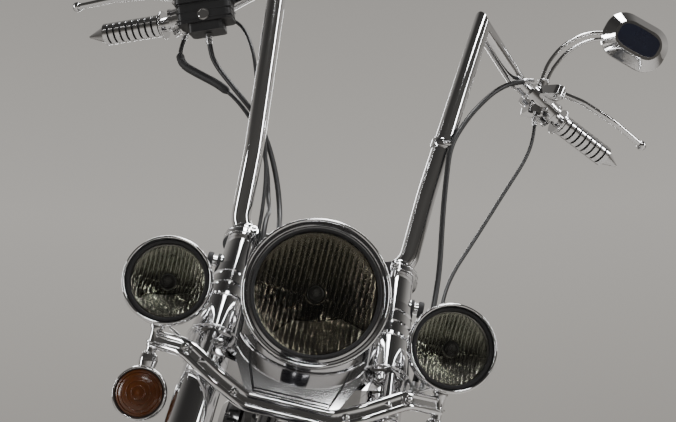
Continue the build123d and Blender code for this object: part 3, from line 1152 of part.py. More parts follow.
STEERING_NODES = {
    "fork_clamps": fork_clamps, "fork_legs": fork_legs, "fork_covers": fork_covers, "front_axle": front_axle,
    "front_caliper": front_caliper, "headlight_shell": headlight_shell, "headlight_ring": headlight_ring,
    "headlight_reflector": headlight_reflector, "headlight_lens": headlight_lens,
    "passing_lamps": passing_lamps, "passing_rings": passing_rings, "passing_lenses": passing_lenses,
    "signal_shells": signal_shells, "signal_lenses": signal_lenses, "lamp_bar": lamp_bar,
    "handlebar": handlebar, "grips": grips, "control_housings": control_housings,
    "clutch_lever": clutch_lever, "brake_lever": brake_lever, "brake_reservoir": brake_reservoir,
    "mirrors": mirrors, "clutch_cable": clutch_cable, "switch_wires": switch_wires, "brake_hose": brake_hose,
    "throttle_cable": throttle_cable, "front_fender": front_fender}
FRONT_WHEEL_NODES = {"front_tyre": front_tyre, "front_wheel": front_wheel, "front_disc": front_disc}
REAR_WHEEL_NODES = {"rear_tyre": rear_tyre, "rear_wheel": rear_wheel, "rear_disc": rear_disc,
                    "rear_pulley": rear_pulley}
FRAME_NODES = {
    "frame": frame, "swingarm": swingarm, "rear_axle": rear_axle, "rear_caliper": rear_caliper,
    "cylinder_front": cylinder_parts["front"], "cylinder_rear": cylinder_parts["rear"],
    "head_front": head_parts["front"], "head_rear": head_parts["rear"], "crankcase": crankcase,
    "pushrod_tubes": pushrod_tubes, "air_cleaner": air_cleaner, "gearbox": gearbox,
    "primary_cover": primary_cover, "drive_belt": drive_belt, "oil_tank": oil_tank,
    "exhaust_front": exhaust_front, "exhaust_rear": exhaust_rear, "fuel_tank": fuel_tank, "dash": dash,
    "seat": seat, "rear_fender": rear_fender, "fender_struts": fender_struts, "tail_lamp": tail_lamp,
    "rear_signals": rear_signals, "floorboards": floorboards}

STAND_NODES = {"side_stand": side_stand}

placed = {}
for group in (STEERING_NODES, FRONT_WHEEL_NODES, REAR_WHEEL_NODES, FRAME_NODES, STAND_NODES):
    for name, piece in group.items():
        shape = piece.part
        if group is STEERING_NODES or group is FRONT_WHEEL_NODES:
            shape = shape.rotate(STEER_AXIS, STEER_REST)
        placed[name] = shape.moved(PARKED)

whole = Compound([solid for shape in placed.values() for solid in shape.solids()]).bounding_box()
CENTRING = Location((-whole.center().X, -whole.center().Y, -whole.min.Z))

os.makedirs("parts", exist_ok=True)
for name, shape in placed.items():
    final = shape.moved(CENTRING)
    final.label = name
    export_step(final, f"parts/{name}.step")
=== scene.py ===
import json
import logging
import math
from collections.abc import Callable
from dataclasses import dataclass, field
from enum import Enum

import bmesh
import bpy
from mathutils import Matrix, Vector

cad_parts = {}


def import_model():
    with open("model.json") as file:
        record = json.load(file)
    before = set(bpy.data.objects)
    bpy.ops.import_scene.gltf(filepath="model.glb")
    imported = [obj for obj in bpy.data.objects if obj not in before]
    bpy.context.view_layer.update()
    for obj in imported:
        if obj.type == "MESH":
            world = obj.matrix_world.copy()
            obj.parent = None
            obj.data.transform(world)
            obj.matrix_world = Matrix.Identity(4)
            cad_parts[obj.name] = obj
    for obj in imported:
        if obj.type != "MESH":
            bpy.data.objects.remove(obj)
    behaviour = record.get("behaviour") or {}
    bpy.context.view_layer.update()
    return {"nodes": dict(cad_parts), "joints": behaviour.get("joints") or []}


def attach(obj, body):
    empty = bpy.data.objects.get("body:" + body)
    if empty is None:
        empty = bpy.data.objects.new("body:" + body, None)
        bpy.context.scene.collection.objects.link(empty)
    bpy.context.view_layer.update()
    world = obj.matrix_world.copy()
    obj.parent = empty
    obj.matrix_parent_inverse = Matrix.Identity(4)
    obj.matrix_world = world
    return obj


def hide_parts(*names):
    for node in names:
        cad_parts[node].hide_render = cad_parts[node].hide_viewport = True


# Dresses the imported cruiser: fine chrome, lamp optics, cables, tyres and leather over the fixed frame.
#
# New pieces are laid out as the machine is drawn: upright, straight ahead, in metres, +Z up, the
# nose to -Y and the rider's left to +X, with the origin on the ground below the front axle. A Stance
# then carries each one into the parked machine's own frame.

LOG = logging.getLogger("cruiser")
MM = 0.001
RAKE = math.radians(32)
TRAIL = 0.147
WHEELBASE = 1.635
AXLE_HEIGHT = 0.320
SIDES = (1, -1)
LEFT = Vector((1, 0, 0))
RIGHT = Vector((-1, 0, 0))
BACK = Vector((0, 1, 0))
UP = Vector((0, 0, 1))
DOWN = Vector((0, 0, -1))
STEER_AXIS = Vector((0, math.sin(RAKE), math.cos(RAKE)))
FORK_FRONT = Vector((0, -math.cos(RAKE), math.sin(RAKE)))
Outline = list[tuple[float, float]]


class Body(Enum):
    """The moving groups of the machine."""

    CHASSIS = "chassis"
    STEERING = "steering"
    FRONT_WHEEL = "front_wheel_body"
    REAR_WHEEL = "rear_wheel_body"
    STAND = "stand"


class Field:
    """A shader socket that can be used in sums: each operator adds its Math node."""

    def __init__(self, graph: "ShaderGraph", socket: bpy.types.NodeSocket) -> None:
        """Keep the graph and the socket that carries the value."""
        self.graph = graph
        self.socket = socket

    def _maths(self, operation: str, first: object, second: object) -> "Field":
        """Add one Math node of an operation on two values."""
        node = self.graph.node("ShaderNodeMath", {"operation": operation}, {0: first, 1: second})
        return Field(self.graph, node.outputs[0])

    def __add__(self, other: object) -> "Field":
        """Give self + other."""
        return self._maths("ADD", self, other)

    __radd__ = __add__

    def __mul__(self, other: object) -> "Field":
        """Give self * other."""
        return self._maths("MULTIPLY", self, other)

    def power(self, exponent: float) -> "Field":
        """Raise to a power."""
        return self._maths("POWER", self, exponent)


class ShaderGraph:
    """One material's nodes, with a principled shader at its end."""

    def __init__(self, name: str) -> None:
        """Start a material of that name with an empty principled shader."""
        self.material = bpy.data.materials.new(name)
        self.material.use_nodes = True
        self.tree = self.material.node_tree
        self.shader = self.tree.nodes["Principled BSDF"]
        self.coordinates = self.node("ShaderNodeTexCoord", {}, {}).outputs["Object"]

    def node(self, kind: str, settings: dict, inputs: dict) -> bpy.types.Node:
        """Add a node.

        Args:
            kind: the node's type.
            settings: its own settings, set first.
            inputs: values or links of its sockets, by name or number.

        Returns:
            The node.
        """
        node = self.tree.nodes.new(kind)
        for name, value in settings.items():
            setattr(node, name, value)
        for name, value in inputs.items():
            self.feed(node.inputs[name], value)
        return node

    def feed(self, socket: bpy.types.NodeSocket, value: object) -> None:
        """Give an input its value.

        Args:
            socket: the input.
            value: a Field or a socket to link, or a plain value to set.
        """
        if isinstance(value, Field):
            value = value.socket
        if isinstance(value, bpy.types.NodeSocket):
            self.tree.links.new(value, socket)
        else:
            socket.default_value = value

    def noise(self, scale: float, detail: float = 3.0, roughness: float = 0.5) -> Field:
        """Give a soft noise from 0 to 1."""
        node = self.node("ShaderNodeTexNoise", {}, {
            "Vector": self.coordinates, "Scale": scale, "Detail": detail, "Roughness": roughness})
        return Field(self, node.outputs[0])

    def cells(self, scale: float) -> Field:
        """Give the distance to the nearest point of a cell pattern."""
        node = self.node("ShaderNodeTexVoronoi", {}, {"Vector": self.coordinates, "Scale": scale})
        return Field(self, node.outputs[0])

    def blend(self, mask: Field, low: tuple[float, float, float], high: tuple[float, float, float]
              ) -> bpy.types.NodeSocket:
        """Mix two colours by a mask."""
        node = self.node("ShaderNodeMix", {"data_type": "RGBA"}, {
            "Factor": mask, 6: (*low, 1.0), 7: (*high, 1.0)})
        return node.outputs[2]

    def bump(self, height: Field, strength: float, distance: float) -> bpy.types.NodeSocket:
        """Turn a height into a normal.

        Args:
            height: the height from 0 to 1.
            strength: the share of the effect.
            distance: the real height of 1, in metres.

        Returns:
            The normal's socket.
        """
        node = self.node("ShaderNodeBump", {}, {"Height": height, "Strength": strength, "Distance": distance})
        return node.outputs[0]

    def finish(self, sockets: dict[str, object]) -> bpy.types.Material:
        """Feed the principled shader's sockets and give the material."""
        for name, value in sockets.items():
            self.feed(self.shader.inputs[name], value)
        return self.material


@dataclass(frozen=True)
class Chrome:
    """Polished chrome plate with a faint ripple and a few soft smudges."""

    name: str = "chrome_plate"
    colour: tuple[float, float, float] = (0.80, 0.80, 0.81)
    roughness: float = 0.045
    smudge: float = 0.10

    def build(self) -> bpy.types.Material:
        """Make the material."""
        graph = ShaderGraph(self.name)
        smears = graph.noise(14.0, 5.0, 0.62).power(3.0)
        specks = graph.noise(420.0, 2.0, 0.5)
        worn = graph.blend(smears, self.colour, tuple(c * 0.90 for c in self.colour))
        return graph.finish({
            "Base Color": worn, "Metallic": 1.0, "Roughness": smears * self.smudge + self.roughness,
            "Normal": graph.bump(graph.noise(9.0, 1.0) + specks * 0.02, 0.10, 0.0008)})


@dataclass(frozen=True)
class SmokedMirror:
    """The dark silvered bowl behind a lamp's glass."""

    name: str = "smoked_mirror"
    colour: tuple[float, float, float] = (0.30, 0.29, 0.26)
    roughness: float = 0.16

    def build(self) -> bpy.types.Material:
        """Make the material."""
        graph = ShaderGraph(self.name)
        haze = graph.noise(60.0, 4.0, 0.6)
        tone = graph.blend(haze, tuple(c * 0.72 for c in self.colour), self.colour)
        return graph.finish({"Base Color": tone, "Metallic": 1.0, "Roughness": haze * 0.12 + self.roughness})


@dataclass(frozen=True)
class LampGlass:
    """Clear moulded glass, a little smoky, with a faint dust film."""

    name: str = "lamp_glass"
    colour: tuple[float, float, float] = (0.80, 0.80, 0.76)

    def build(self) -> bpy.types.Material:
        """Make the material."""
        graph = ShaderGraph(self.name)
        dust = graph.noise(90.0, 5.0, 0.65).power(2.0)
        return graph.finish({
            "Base Color": (*self.colour, 1.0), "Transmission Weight": 1.0, "IOR": 1.47,
            "Roughness": dust * 0.05 + 0.01,
            "Normal": graph.bump(graph.noise(30.0, 1.0), 0.15, 0.0005)})


@dataclass(frozen=True)
class ColouredLens:
    """A translucent moulded lens of amber or red."""

    name: str
    colour: tuple[float, float, float]
    deep: tuple[float, float, float]

    def build(self) -> bpy.types.Material:
        """Make the material."""
        graph = ShaderGraph(self.name)
        prisms = graph.cells(260.0)
        tone = graph.blend(graph.noise(40.0, 3.0), self.deep, self.colour)
        return graph.finish({
            "Base Color": tone, "Roughness": 0.28, "Coat Weight": 0.25, "Coat Roughness": 0.06,
            "Subsurface Weight": 0.25, "Subsurface Scale": 0.004,
            "Normal": graph.bump(prisms, 0.35, 0.0006)})


@dataclass(frozen=True)
class PolishedAlloy:
    """Bright aluminium with a cast or turned grain."""

    name: str
    colour: tuple[float, float, float] = (0.62, 0.62, 0.63)
    roughness: float = 0.22
    grain: float = 0.10

    def build(self) -> bpy.types.Material:
        """Make the material."""
        graph = ShaderGraph(self.name)
        grain = graph.noise(380.0, 4.0, 0.6)
        patches = graph.noise(16.0, 4.0, 0.6)
        tone = graph.blend(patches, tuple(c * 0.86 for c in self.colour), self.colour)
        return graph.finish({
            "Base Color": tone, "Metallic": 1.0,
            "Roughness": grain * self.grain + patches * 0.08 + self.roughness,
            "Normal": graph.bump(grain, 0.12, 0.0002)})


@dataclass(frozen=True)
class TyreRubber:
    """Matt black rubber with dust in its pores."""

    name: str = "tyre_rubber"

    def build(self) -> bpy.types.Material:
        """Make the material."""
        graph = ShaderGraph(self.name)
        dust = graph.noise(22.0, 6.0, 0.7).power(2.0)
        pores = graph.noise(900.0, 2.0, 0.5)
        tone = graph.blend(dust, (0.018, 0.018, 0.019), (0.06, 0.057, 0.052))
        return graph.finish({
            "Base Color": tone, "Roughness": 0.72 + dust * 0.2, "Specular IOR Level": 0.35,
            "Normal": graph.bump(pores, 0.3, 0.0004)})


@dataclass(frozen=True)
class GlossPaint:
    """Deep black lacquer under a clear coat."""

    name: str = "black_lacquer"
    colour: tuple[float, float, float] = (0.010, 0.010, 0.012)

    def build(self) -> bpy.types.Material:
        """Make the material."""
        graph = ShaderGraph(self.name)
        peel = graph.noise(160.0, 2.0, 0.5)
        haze = graph.noise(9.0, 4.0, 0.6)
        tone = graph.blend(haze, self.colour, tuple(c * 1.6 for c in self.colour))
        return graph.finish({
            "Base Color": tone, "Roughness": haze * 0.08 + 0.22, "Coat Weight": 1.0, "Coat Roughness": 0.03,
            "Normal": graph.bump(peel, 0.04, 0.0004)})


@dataclass(frozen=True)
class EngineEnamel:
    """Satin black enamel with a fine wrinkle."""

    name: str = "engine_enamel"

    def build(self) -> bpy.types.Material:
        """Make the material."""
        graph = ShaderGraph(self.name)
        wrinkle = graph.noise(650.0, 3.0, 0.6)
        dust = graph.noise(18.0, 5.0, 0.65).power(2.0)
        tone = graph.blend(dust, (0.022, 0.022, 0.023), (0.055, 0.052, 0.048))
        return graph.finish({
            "Base Color": tone, "Roughness": 0.42 + dust * 0.25,
            "Normal": graph.bump(wrinkle, 0.45, 0.0004)})


@dataclass(frozen=True)
class CableSheath:
    """Black vinyl over a wound cable: faint turns and a satin shine."""

    name: str = "cable_sheath"
    colour: tuple[float, float, float] = (0.016, 0.016, 0.017)

    def build(self) -> bpy.types.Material:
        """Make the material."""
        graph = ShaderGraph(self.name)
        scuffs = graph.noise(130.0, 5.0, 0.7)
        tone = graph.blend(scuffs.power(3.0), self.colour, (0.05, 0.05, 0.05))
        return graph.finish({
            "Base Color": tone, "Roughness": scuffs * 0.2 + 0.34, "Normal": graph.bump(scuffs, 0.12, 0.0003)})


@dataclass(frozen=True)
class BlackPlastic:
    """Moulded black plastic with a fine spark texture."""

    name: str = "moulded_black"
    roughness: float = 0.38

    def build(self) -> bpy.types.Material:
        """Make the material."""
        graph = ShaderGraph(self.name)
        spark = graph.noise(1100.0, 2.0, 0.5)
        haze = graph.noise(20.0, 4.0, 0.6)
        tone = graph.blend(haze, (0.014, 0.014, 0.015), (0.030, 0.030, 0.031))
        return graph.finish({
            "Base Color": tone, "Roughness": haze * 0.12 + self.roughness,
            "Normal": graph.bump(spark, 0.25, 0.0002)})


@dataclass(frozen=True)
class MarkPaint:
    """Flat printed paint for dial marks."""

    name: str = "mark_paint"
    colour: tuple[float, float, float] = (0.72, 0.71, 0.67)

    def build(self) -> bpy.types.Material:
        """Make the material."""
        graph = ShaderGraph(self.name)
        wear = graph.noise(300.0, 3.0)
        tone = graph.blend(wear, tuple(c * 0.9 for c in self.colour), self.colour)
        return graph.finish({"Base Color": tone, "Roughness": 0.5})


@dataclass(frozen=True)
class SaddleLeather:
    """Black saddle leather with a pebbled grain."""

    name: str = "saddle_leather"

    def build(self) -> bpy.types.Material:
        """Make the material."""
        graph = ShaderGraph(self.name)
        pebbles = graph.cells(330.0)
        folds = graph.noise(26.0, 5.0, 0.6)
        tone = graph.blend(folds, (0.014, 0.013, 0.012), (0.036, 0.033, 0.030))
        return graph.finish({
            "Base Color": tone, "Roughness": pebbles * 0.18 + 0.38, "Coat Weight": 0.08,
            "Normal": graph.bump(pebbles + folds * 0.6, 0.5, 0.0007)})


class Finish(Enum):
    """Each finish of the machine, with its recipe and the name of its colour slot."""

    CHROME = (Chrome(), "chrome")
    BOWL = (SmokedMirror("smoked_mirror", (0.20, 0.185, 0.155), 0.15), "reflector")
    GLASS = (LampGlass(), "clear_glass")
    AMBER = (ColouredLens("amber_lens", (0.19, 0.058, 0.010), (0.075, 0.018, 0.004)), "amber_lens")
    RED = (ColouredLens("red_lens", (0.40, 0.012, 0.010), (0.16, 0.004, 0.004)), "red_lens")
    ALLOY = (PolishedAlloy("polished_alloy"), "bright_alloy")
    STEEL = (PolishedAlloy("ground_steel", (0.50, 0.50, 0.51), 0.30, 0.16), "disc_steel")
    TYRE = (TyreRubber(), "tyre_rubber")
    PAINT = (GlossPaint(), "black_paint")
    ENGINE = (EngineEnamel(), "black_engine")
    CABLE = (CableSheath(), "black_rubber")
    PLASTIC = (BlackPlastic(), "black_plastic")
    LEATHER = (SaddleLeather(), "black_leather")
    RUBBER = (BlackPlastic("soft_rubber", 0.55), "black_rubber")
    SHIELD = (BlackPlastic("shield_black", 0.30), "black_plastic")
    # A lighter, greenish copy of the reflector finish: its colour is a painted reflection of the room in the
    # passing lamps' bowls.
    BOWL_PAINTED_REFLECTION = (SmokedMirror("bowl_painted_reflection", (0.44, 0.45, 0.40), 0.12), "reflector")
    # A darker copy of the chrome for the headlight ring: painted shade for the dark band round the lens.
    SHADED_CHROME = (Chrome("band_chrome_painted_shade", (0.60, 0.60, 0.61), 0.06), "chrome")
    MIRROR = (Chrome("mirror_silver", (0.88, 0.88, 0.88), 0.015, 0.03), "chrome")
    # Dark blue lacquer for the mirror heads' fronts: a painted reflection of a blue wall in the chrome.
    PAINTED_BLUE_REFLECTION = (GlossPaint("mirror_back_painted_reflection", (0.010, 0.012, 0.024)), "black_paint")
    PALE = (MarkPaint(), "black_plastic")

    def __init__(self, recipe: object, slot: str) -> None:
        """Keep the recipe and the slot's name."""
        self.recipe = recipe
        self.slot = slot


class Paintbox:
    """Makes each material once and hands it out."""

    def __init__(self) -> None:
        """Start with no material made."""
        self.made: dict[Finish, bpy.types.Material] = {}

    def get(self, finish: Finish) -> bpy.types.Material:
        """Give the material of a finish, making it at its first use."""
        if finish not in self.made:
            self.made[finish] = finish.recipe.build()
        return self.made[finish]

    def dress(self, piece: bpy.types.Object, *finishes: Finish) -> None:
        """Give a piece its materials.

        Args:
            piece: the piece.
            finishes: its finishes, in the order of its face indices.
        """
        slots = piece.data.materials
        while len(slots) > len(finishes):
            slots.pop()
        for index, finish in enumerate(finishes):
            if index < len(slots):
                slots[index] = self.get(finish)
            else:
                slots.append(self.get(finish))


@dataclass(frozen=True)
class Stance:
    """Carries the upright layout into the parked machine's frame."""

    matrix: Matrix

    @classmethod
    def from_lines(cls, left: Vector, steer: Vector, layout_point: Vector,
                   parked_point: Vector) -> "Stance":
        """Find the stance from two known directions and one known point.

        Args:
            left: the parked direction of the group's own left.
            steer: the parked direction of the steering axis.
            layout_point: a point of the upright layout.
            parked_point: the same point on the parked machine.

        Returns:
            The stance.
        """
        parked_left = (left - steer * left.dot(steer)).normalized()
        layout = Matrix((LEFT, STEER_AXIS, LEFT.cross(STEER_AXIS))).transposed()
        parked = Matrix((parked_left, steer, parked_left.cross(steer))).transposed()
        turn = (parked @ layout.transposed()).to_4x4()
        return cls(Matrix.Translation(parked_point) @ turn @ Matrix.Translation(-layout_point))

    def place(self, point: tuple[float, float, float]) -> Vector:
        """Give a layout point's place on the parked machine."""
        return self.matrix @ Vector(point)


@dataclass
class Studio:
    """The floor, the lights and the camera."""

    camera_place: tuple[float, float, float] = (-0.033233, -1.851359, 0.645746)
    yaw: float = math.radians(-1.61)
    pitch: float = math.radians(14.424)
    roll: float = math.radians(-1.477)
    focal_pixels: float = 921.3
    photo_width: float = 676.0
    sensor: float = 36.0
    floor_size: float = 30.0
    floor_colour: tuple[float, float, float] = (0.54, 0.52, 0.49)

    def build(self) -> None:
        """Make the whole studio."""
        self._camera()
        self._floor()
        self._lights()
        self._surround()

    def _camera(self) -> None:
        """Place the camera at the photograph's view."""
        data = bpy.data.cameras.new("camera")
        data.sensor_width = self.sensor
        data.lens = self.focal_pixels / self.photo_width * self.sensor
        camera = bpy.data.objects.new("camera", data)
        bpy.context.scene.collection.objects.link(camera)
        forward = Vector((math.sin(self.yaw) * math.cos(self.pitch),
                          math.cos(self.yaw) * math.cos(self.pitch), math.sin(self.pitch)))
        level = forward.cross(Vector((0, 0, 1))).normalized()
        upright = level.cross(forward)
        right = level * math.cos(self.roll) + upright * math.sin(self.roll)
        top = upright * math.cos(self.roll) - level * math.sin(self.roll)
        camera.matrix_world = Matrix.Translation(self.camera_place) @ Matrix(
            (right, top, -forward)).transposed().to_4x4()
        bpy.context.scene.camera = camera

    def _floor(self) -> None:
        """Lay a plain pale floor."""
        mesh = bpy.data.meshes.new("floor")
        shape = bmesh.new()
        bmesh.ops.create_grid(shape, x_segments=1, y_segments=1, size=self.floor_size / 2)
        shape.to_mesh(mesh)
        shape.free()
        floor = bpy.data.objects.new("floor", mesh)
        bpy.context.scene.collection.objects.link(floor)
        graph = ShaderGraph("floor_paint")
        speckle = graph.noise(3.0, 5.0, 0.6)
        tone = graph.blend(speckle, tuple(c * 0.96 for c in self.floor_colour), self.floor_colour)
        mesh.materials.append(graph.finish({"Base Color": tone, "Roughness": speckle * 0.1 + 0.5}))

    def _lights(self) -> None:
        """Hang large soft panels round the machine."""
        panels = (
            ("overhead", (0.6, -0.2, 3.8), (0.0, 0.0, 0.9), (2.4, 0.7), 90.0),
            ("left_wall", (3.4, -1.4, 1.9), (0.0, -0.4, 0.9), (0.5, 2.4), 55.0),
            ("right_wall", (-3.4, -1.8, 1.6), (0.0, -0.4, 0.9), (0.45, 2.2), 45.0),
            ("front_high", (0.9, -3.8, 3.6), (0.0, -0.5, 1.0), (1.2, 0.35), 30.0),
            ("behind", (-0.6, 3.6, 2.8), (0.0, 0.2, 0.8), (2.6, 1.0), 60.0),
        )
        for name, place, aim, size, power in panels:
            data = bpy.data.lights.new(name, "AREA")
            data.shape = "RECTANGLE"
            data.size, data.size_y = size
            data.energy = power
            panel = bpy.data.objects.new(name, data)
            panel.location = place
            panel.rotation_euler = (Vector(place) - Vector(aim)).to_track_quat("Z", "Y").to_euler()
            bpy.context.scene.collection.objects.link(panel)

    def _surround(self) -> None:
        """Tint the room: warm grey walls, darker low down."""
        world = bpy.data.worlds.new("room")
        bpy.context.scene.world = world
        world.use_nodes = True
        tree = world.node_tree
        where = tree.nodes.new("ShaderNodeTexCoord")
        split = tree.nodes.new("ShaderNodeSeparateXYZ")
        ramp = tree.nodes.new("ShaderNodeValToRGB")
        stops = ((0.0, (0.05, 0.048, 0.045)), (0.42, (0.30, 0.285, 0.265)), (0.62, (0.47, 0.45, 0.42)),
                 (1.0, (0.16, 0.155, 0.15)))
        while len(ramp.color_ramp.elements) < len(stops):
            ramp.color_ramp.elements.new(1.0)
        for element, (place, colour) in zip(ramp.color_ramp.elements, stops):
            element.position = place
            element.color = (*colour, 1.0)
        shift = tree.nodes.new("ShaderNodeMath")
        shift.operation = "MULTIPLY_ADD"
        shift.inputs[1].default_value = 0.5
        shift.inputs[2].default_value = 0.5
        tree.links.new(where.outputs["Generated"], split.inputs[0])
        tree.links.new(split.outputs["Z"], shift.inputs[0])
        tree.links.new(shift.outputs[0], ramp.inputs[0])
        tree.links.new(ramp.outputs[0], tree.nodes["Background"].inputs[0])
        dim = tree.nodes.new("ShaderNodeMapRange")
        dim.interpolation_type = "SMOOTHSTEP"
        for socket, value in (("From Min", -0.35), ("From Max", 0.55), ("To Min", 0.16), ("To Max", 1.0)):
            dim.inputs[socket].default_value = value
        tree.links.new(split.outputs["Y"], dim.inputs["Value"])
        tree.links.new(dim.outputs[0], tree.nodes["Background"].inputs["Strength"])


def at(side: float, back: float, up: float) -> Vector:
    """Give a layout point, written in millimetres."""
    return Vector((side, back, up)) * MM


def on_fork(side: float, back: float, up: float) -> Vector:
    """Give the layout point at a distance sideways, behind and along the steering axis, in millimetres."""
    return at(side, math.cos(RAKE) * back + math.sin(RAKE) * up - TRAIL / MM,
              math.cos(RAKE) * up - math.sin(RAKE) * back)


def flip(point: Vector, side: int) -> Vector:
    """Give the point on the rider's left (1) or its mirror image on the right (-1)."""
    return Vector((point.x * side, point.y, point.z))


def lay(centre: Vector, direction: Vector) -> Matrix:
    """Give the place whose Z runs along a direction from a centre."""
    return Matrix.Translation(centre) @ direction.to_track_quat("Z", "Y").to_matrix().to_4x4()


def seat(centre: Vector, across: Vector, deep: Vector, high: Vector) -> Matrix:
    """Give the place at a centre whose X, Y and Z run along three directions."""
    return Matrix.Translation(centre) @ Matrix((across, deep, high)).transposed().to_4x4()


def around(count: int, start: float = 0.0) -> list[float]:
    """Give the angles of a number of even steps of a full turn."""
    return [start + math.tau * index / count for index in range(count)]


def swell(share: float, power: float) -> float:
    """Raise a share of -1 to 1 to a power and keep its sign."""
    return math.copysign(abs(share) ** power, share)


class Mould:
    """A mesh that is shaped in the upright layout, its sizes given in millimetres."""

    def __init__(self) -> None:
        """Start with nothing in the mould."""
        self.mesh = bmesh.new()

    def _colour(self, before: int, material: int) -> None:
        """Give the faces made since a count the material of an index."""
        self.mesh.faces.ensure_lookup_table()
        for face in self.mesh.faces[before:]:
            face.material_index = material

    def turn(self, centre: Vector, direction: Vector, outline: Outline, steps: int = 48, material: int = 0,
             closed: bool = False) -> None:
        """Spin an outline round a line.

        Args:
            centre: the outline's origin on the line.
            direction: the line's direction.
            outline: points as (distance along the line, radius).
            steps: the number of sides.
            material: the index of the faces' finish.
            closed: whether the last point joins the first.
        """
        before = len(self.mesh.faces)
        place = lay(centre, direction)
        points = [self.mesh.verts.new(place @ at(radius, 0, along)) for along, radius in outline]
        pairs = list(zip(points, points[1:]))
        if closed:
            pairs.append((points[-1], points[0]))
        edges = [self.mesh.edges.new(pair) for pair in pairs]
        bmesh.ops.spin(self.mesh, geom=points + edges, cent=centre, axis=direction, dvec=(0, 0, 0),
                       angle=math.tau, steps=steps, use_merge=True, use_duplicate=False)
        bmesh.ops.remove_doubles(self.mesh, verts=self.mesh.verts, dist=0.01 * MM)
        self._colour(before, material)

    def ring(self, centre: Vector, direction: Vector, radius: float, wire: float, steps: int = 64,
             material: int = 0, sides: int = 10) -> None:
        """Lay a ring of round wire round a line."""
        outline = [(math.sin(turn) * wire, radius + math.cos(turn) * wire) for turn in around(sides)]
        self.turn(centre, direction, outline, steps, material, closed=True)

    def rod(self, start: Vector, end: Vector, radius: float, steps: int = 20, material: int = 0,
            end_radius: float | None = None) -> None:
        """Run a round bar between two points.

        Args:
            start: the middle of its first end.
            end: the middle of its other end.
            radius: its radius.
            steps: the number of sides.
            material: the index of the faces' finish.
            end_radius: the other end's radius, if it tapers.
        """
        before = len(self.mesh.faces)
        along = end - start
        bmesh.ops.create_cone(
            self.mesh, cap_ends=True, cap_tris=False, segments=steps, radius1=radius * MM,
            radius2=(radius if end_radius is None else end_radius) * MM, depth=along.length,
            matrix=lay((start + end) / 2, along))
        self._colour(before, material)

    def _soften(self, verts: list[bmesh.types.BMVert], offset: float, segments: int) -> None:
        """Bevel every edge of some points."""
        edges = list({edge for vert in verts for edge in vert.link_edges})
        bmesh.ops.bevel(self.mesh, geom=edges, offset=offset * MM, segments=segments, profile=0.5,
                        affect="EDGES", material=-1)

    def block(self, place: Matrix, size: tuple[float, float, float], soften: float = 1.0,
              material: int = 0) -> None:
        """Set a block at a place.

        Args:
            place: the block's middle and directions.
            size: its three sizes.
            soften: the bevel of its edges.
            material: the index of the faces' finish.
        """
        before = len(self.mesh.faces)
        made = bmesh.ops.create_cube(
            self.mesh, size=1.0, matrix=place @ Matrix.Diagonal((*at(*size), 1)))
        self._soften(made["verts"], soften, 2)
        self._colour(before, material)

    def bolt(self, foot: Vector, direction: Vector, across: float = 12.0, height: float = 6.0,
             material: int = 0) -> None:
        """Screw a domed hexagon bolt with its washer onto a face.

        Args:
            foot: the point of the face.
            direction: the way the bolt's head points.
            across: the width of the hexagon.
            height: the height of the hexagon.
            material: the index of the faces' finish.
        """
        direction = direction.normalized()
        half = across / 2
        self.turn(foot, direction, [(-0.5, half * 1.35), (1.2, half * 1.35), (1.2, 0)], 24, material)
        before = len(self.mesh.faces)
        made = bmesh.ops.create_cone(
            self.mesh, cap_ends=True, cap_tris=False, segments=6, radius1=half * 1.12 * MM,
            radius2=half * 1.12 * MM, depth=height * MM,
            matrix=lay(foot + direction * (height / 2 + 1) * MM, direction))
        self._soften(made["verts"], 0.6, 1)
        self._colour(before, material)
        dome = [(0, half * 0.7), (half * 0.18, half * 0.4), (half * 0.25, 0)]
        self.turn(foot + direction * (height + 1) * MM, direction, dome, 18, material)

    def hose(self, points: list[Vector], radii: list[float], sides: int = 14, material: int = 0) -> None:
        """Skin a round tube.

        Args:
            points: the points of its middle line.
            radii: its radius at each point.
            sides: the number of sides.
            material: the index of the faces' finish.
        """
        before = len(self.mesh.faces)
        rings = []
        for index, (point, radius) in enumerate(zip(points, radii)):
            along = points[min(index + 1, len(points) - 1)] - points[max(index - 1, 0)]
            ends = index in (0, len(points) - 1)
            made = bmesh.ops.create_circle(
                self.mesh, cap_ends=ends, cap_tris=False, segments=sides, radius=radius * MM,
                matrix=lay(point, along))
            rings.append({edge for vert in made["verts"] for edge in vert.link_edges})
        for first, second in zip(rings, rings[1:]):
            bmesh.ops.bridge_loops(self.mesh, edges=list(first | second))
        self._colour(before, material)

    def dish(self, centre: Vector, radius: float, cuts: tuple[int, int],
             depth: Callable[[float, float], float], material: int = 0) -> None:
        """Press a round dish that faces the nose.

        Args:
            centre: the middle of its mouth.
            radius: the mouth's radius.
            cuts: the number of strips across and up.
            depth: gives the depth behind the mouth at a place (across, up) from the centre.
            material: the index of the faces' finish.
        """
        before = len(self.mesh.faces)
        made = bmesh.ops.create_grid(self.mesh, x_segments=cuts[0], y_segments=cuts[1], size=1.0)
        for vert in made["verts"]:
            across = vert.co.x * math.sqrt(1 - vert.co.y ** 2 / 2) * radius
            up = vert.co.y * math.sqrt(1 - vert.co.x ** 2 / 2) * radius
            vert.co = centre + at(across, depth(across, up), up)
        self._colour(before, material)

    def plate(self, place: Matrix, size: tuple[float, float], level: float, lift: float) -> None:
        """Cut a thin plate with softly rounded corners.

        Args:
            place: its middle, with Z square to it.
            size: its width and height.
            level: how far its outline stands off the place.
            lift: how far its face stands off the outline.
        """
        made = bmesh.ops.create_circle(self.mesh, cap_ends=True, segments=64, radius=1.0,
                                       matrix=Matrix.Identity(4))
        for vert in made["verts"]:
            vert.co = place @ at(swell(vert.co.x, 0.62) * size[0] / 2, swell(vert.co.y, 0.62) * size[1] / 2,
                                 level)
        rim = bmesh.ops.extrude_face_region(self.mesh, geom=list(made["verts"][0].link_faces))
        lifted = [item for item in rim["geom"] if isinstance(item, bmesh.types.BMVert)]
        bmesh.ops.translate(self.mesh, verts=lifted, vec=place.to_3x3() @ at(0, 0, lift))


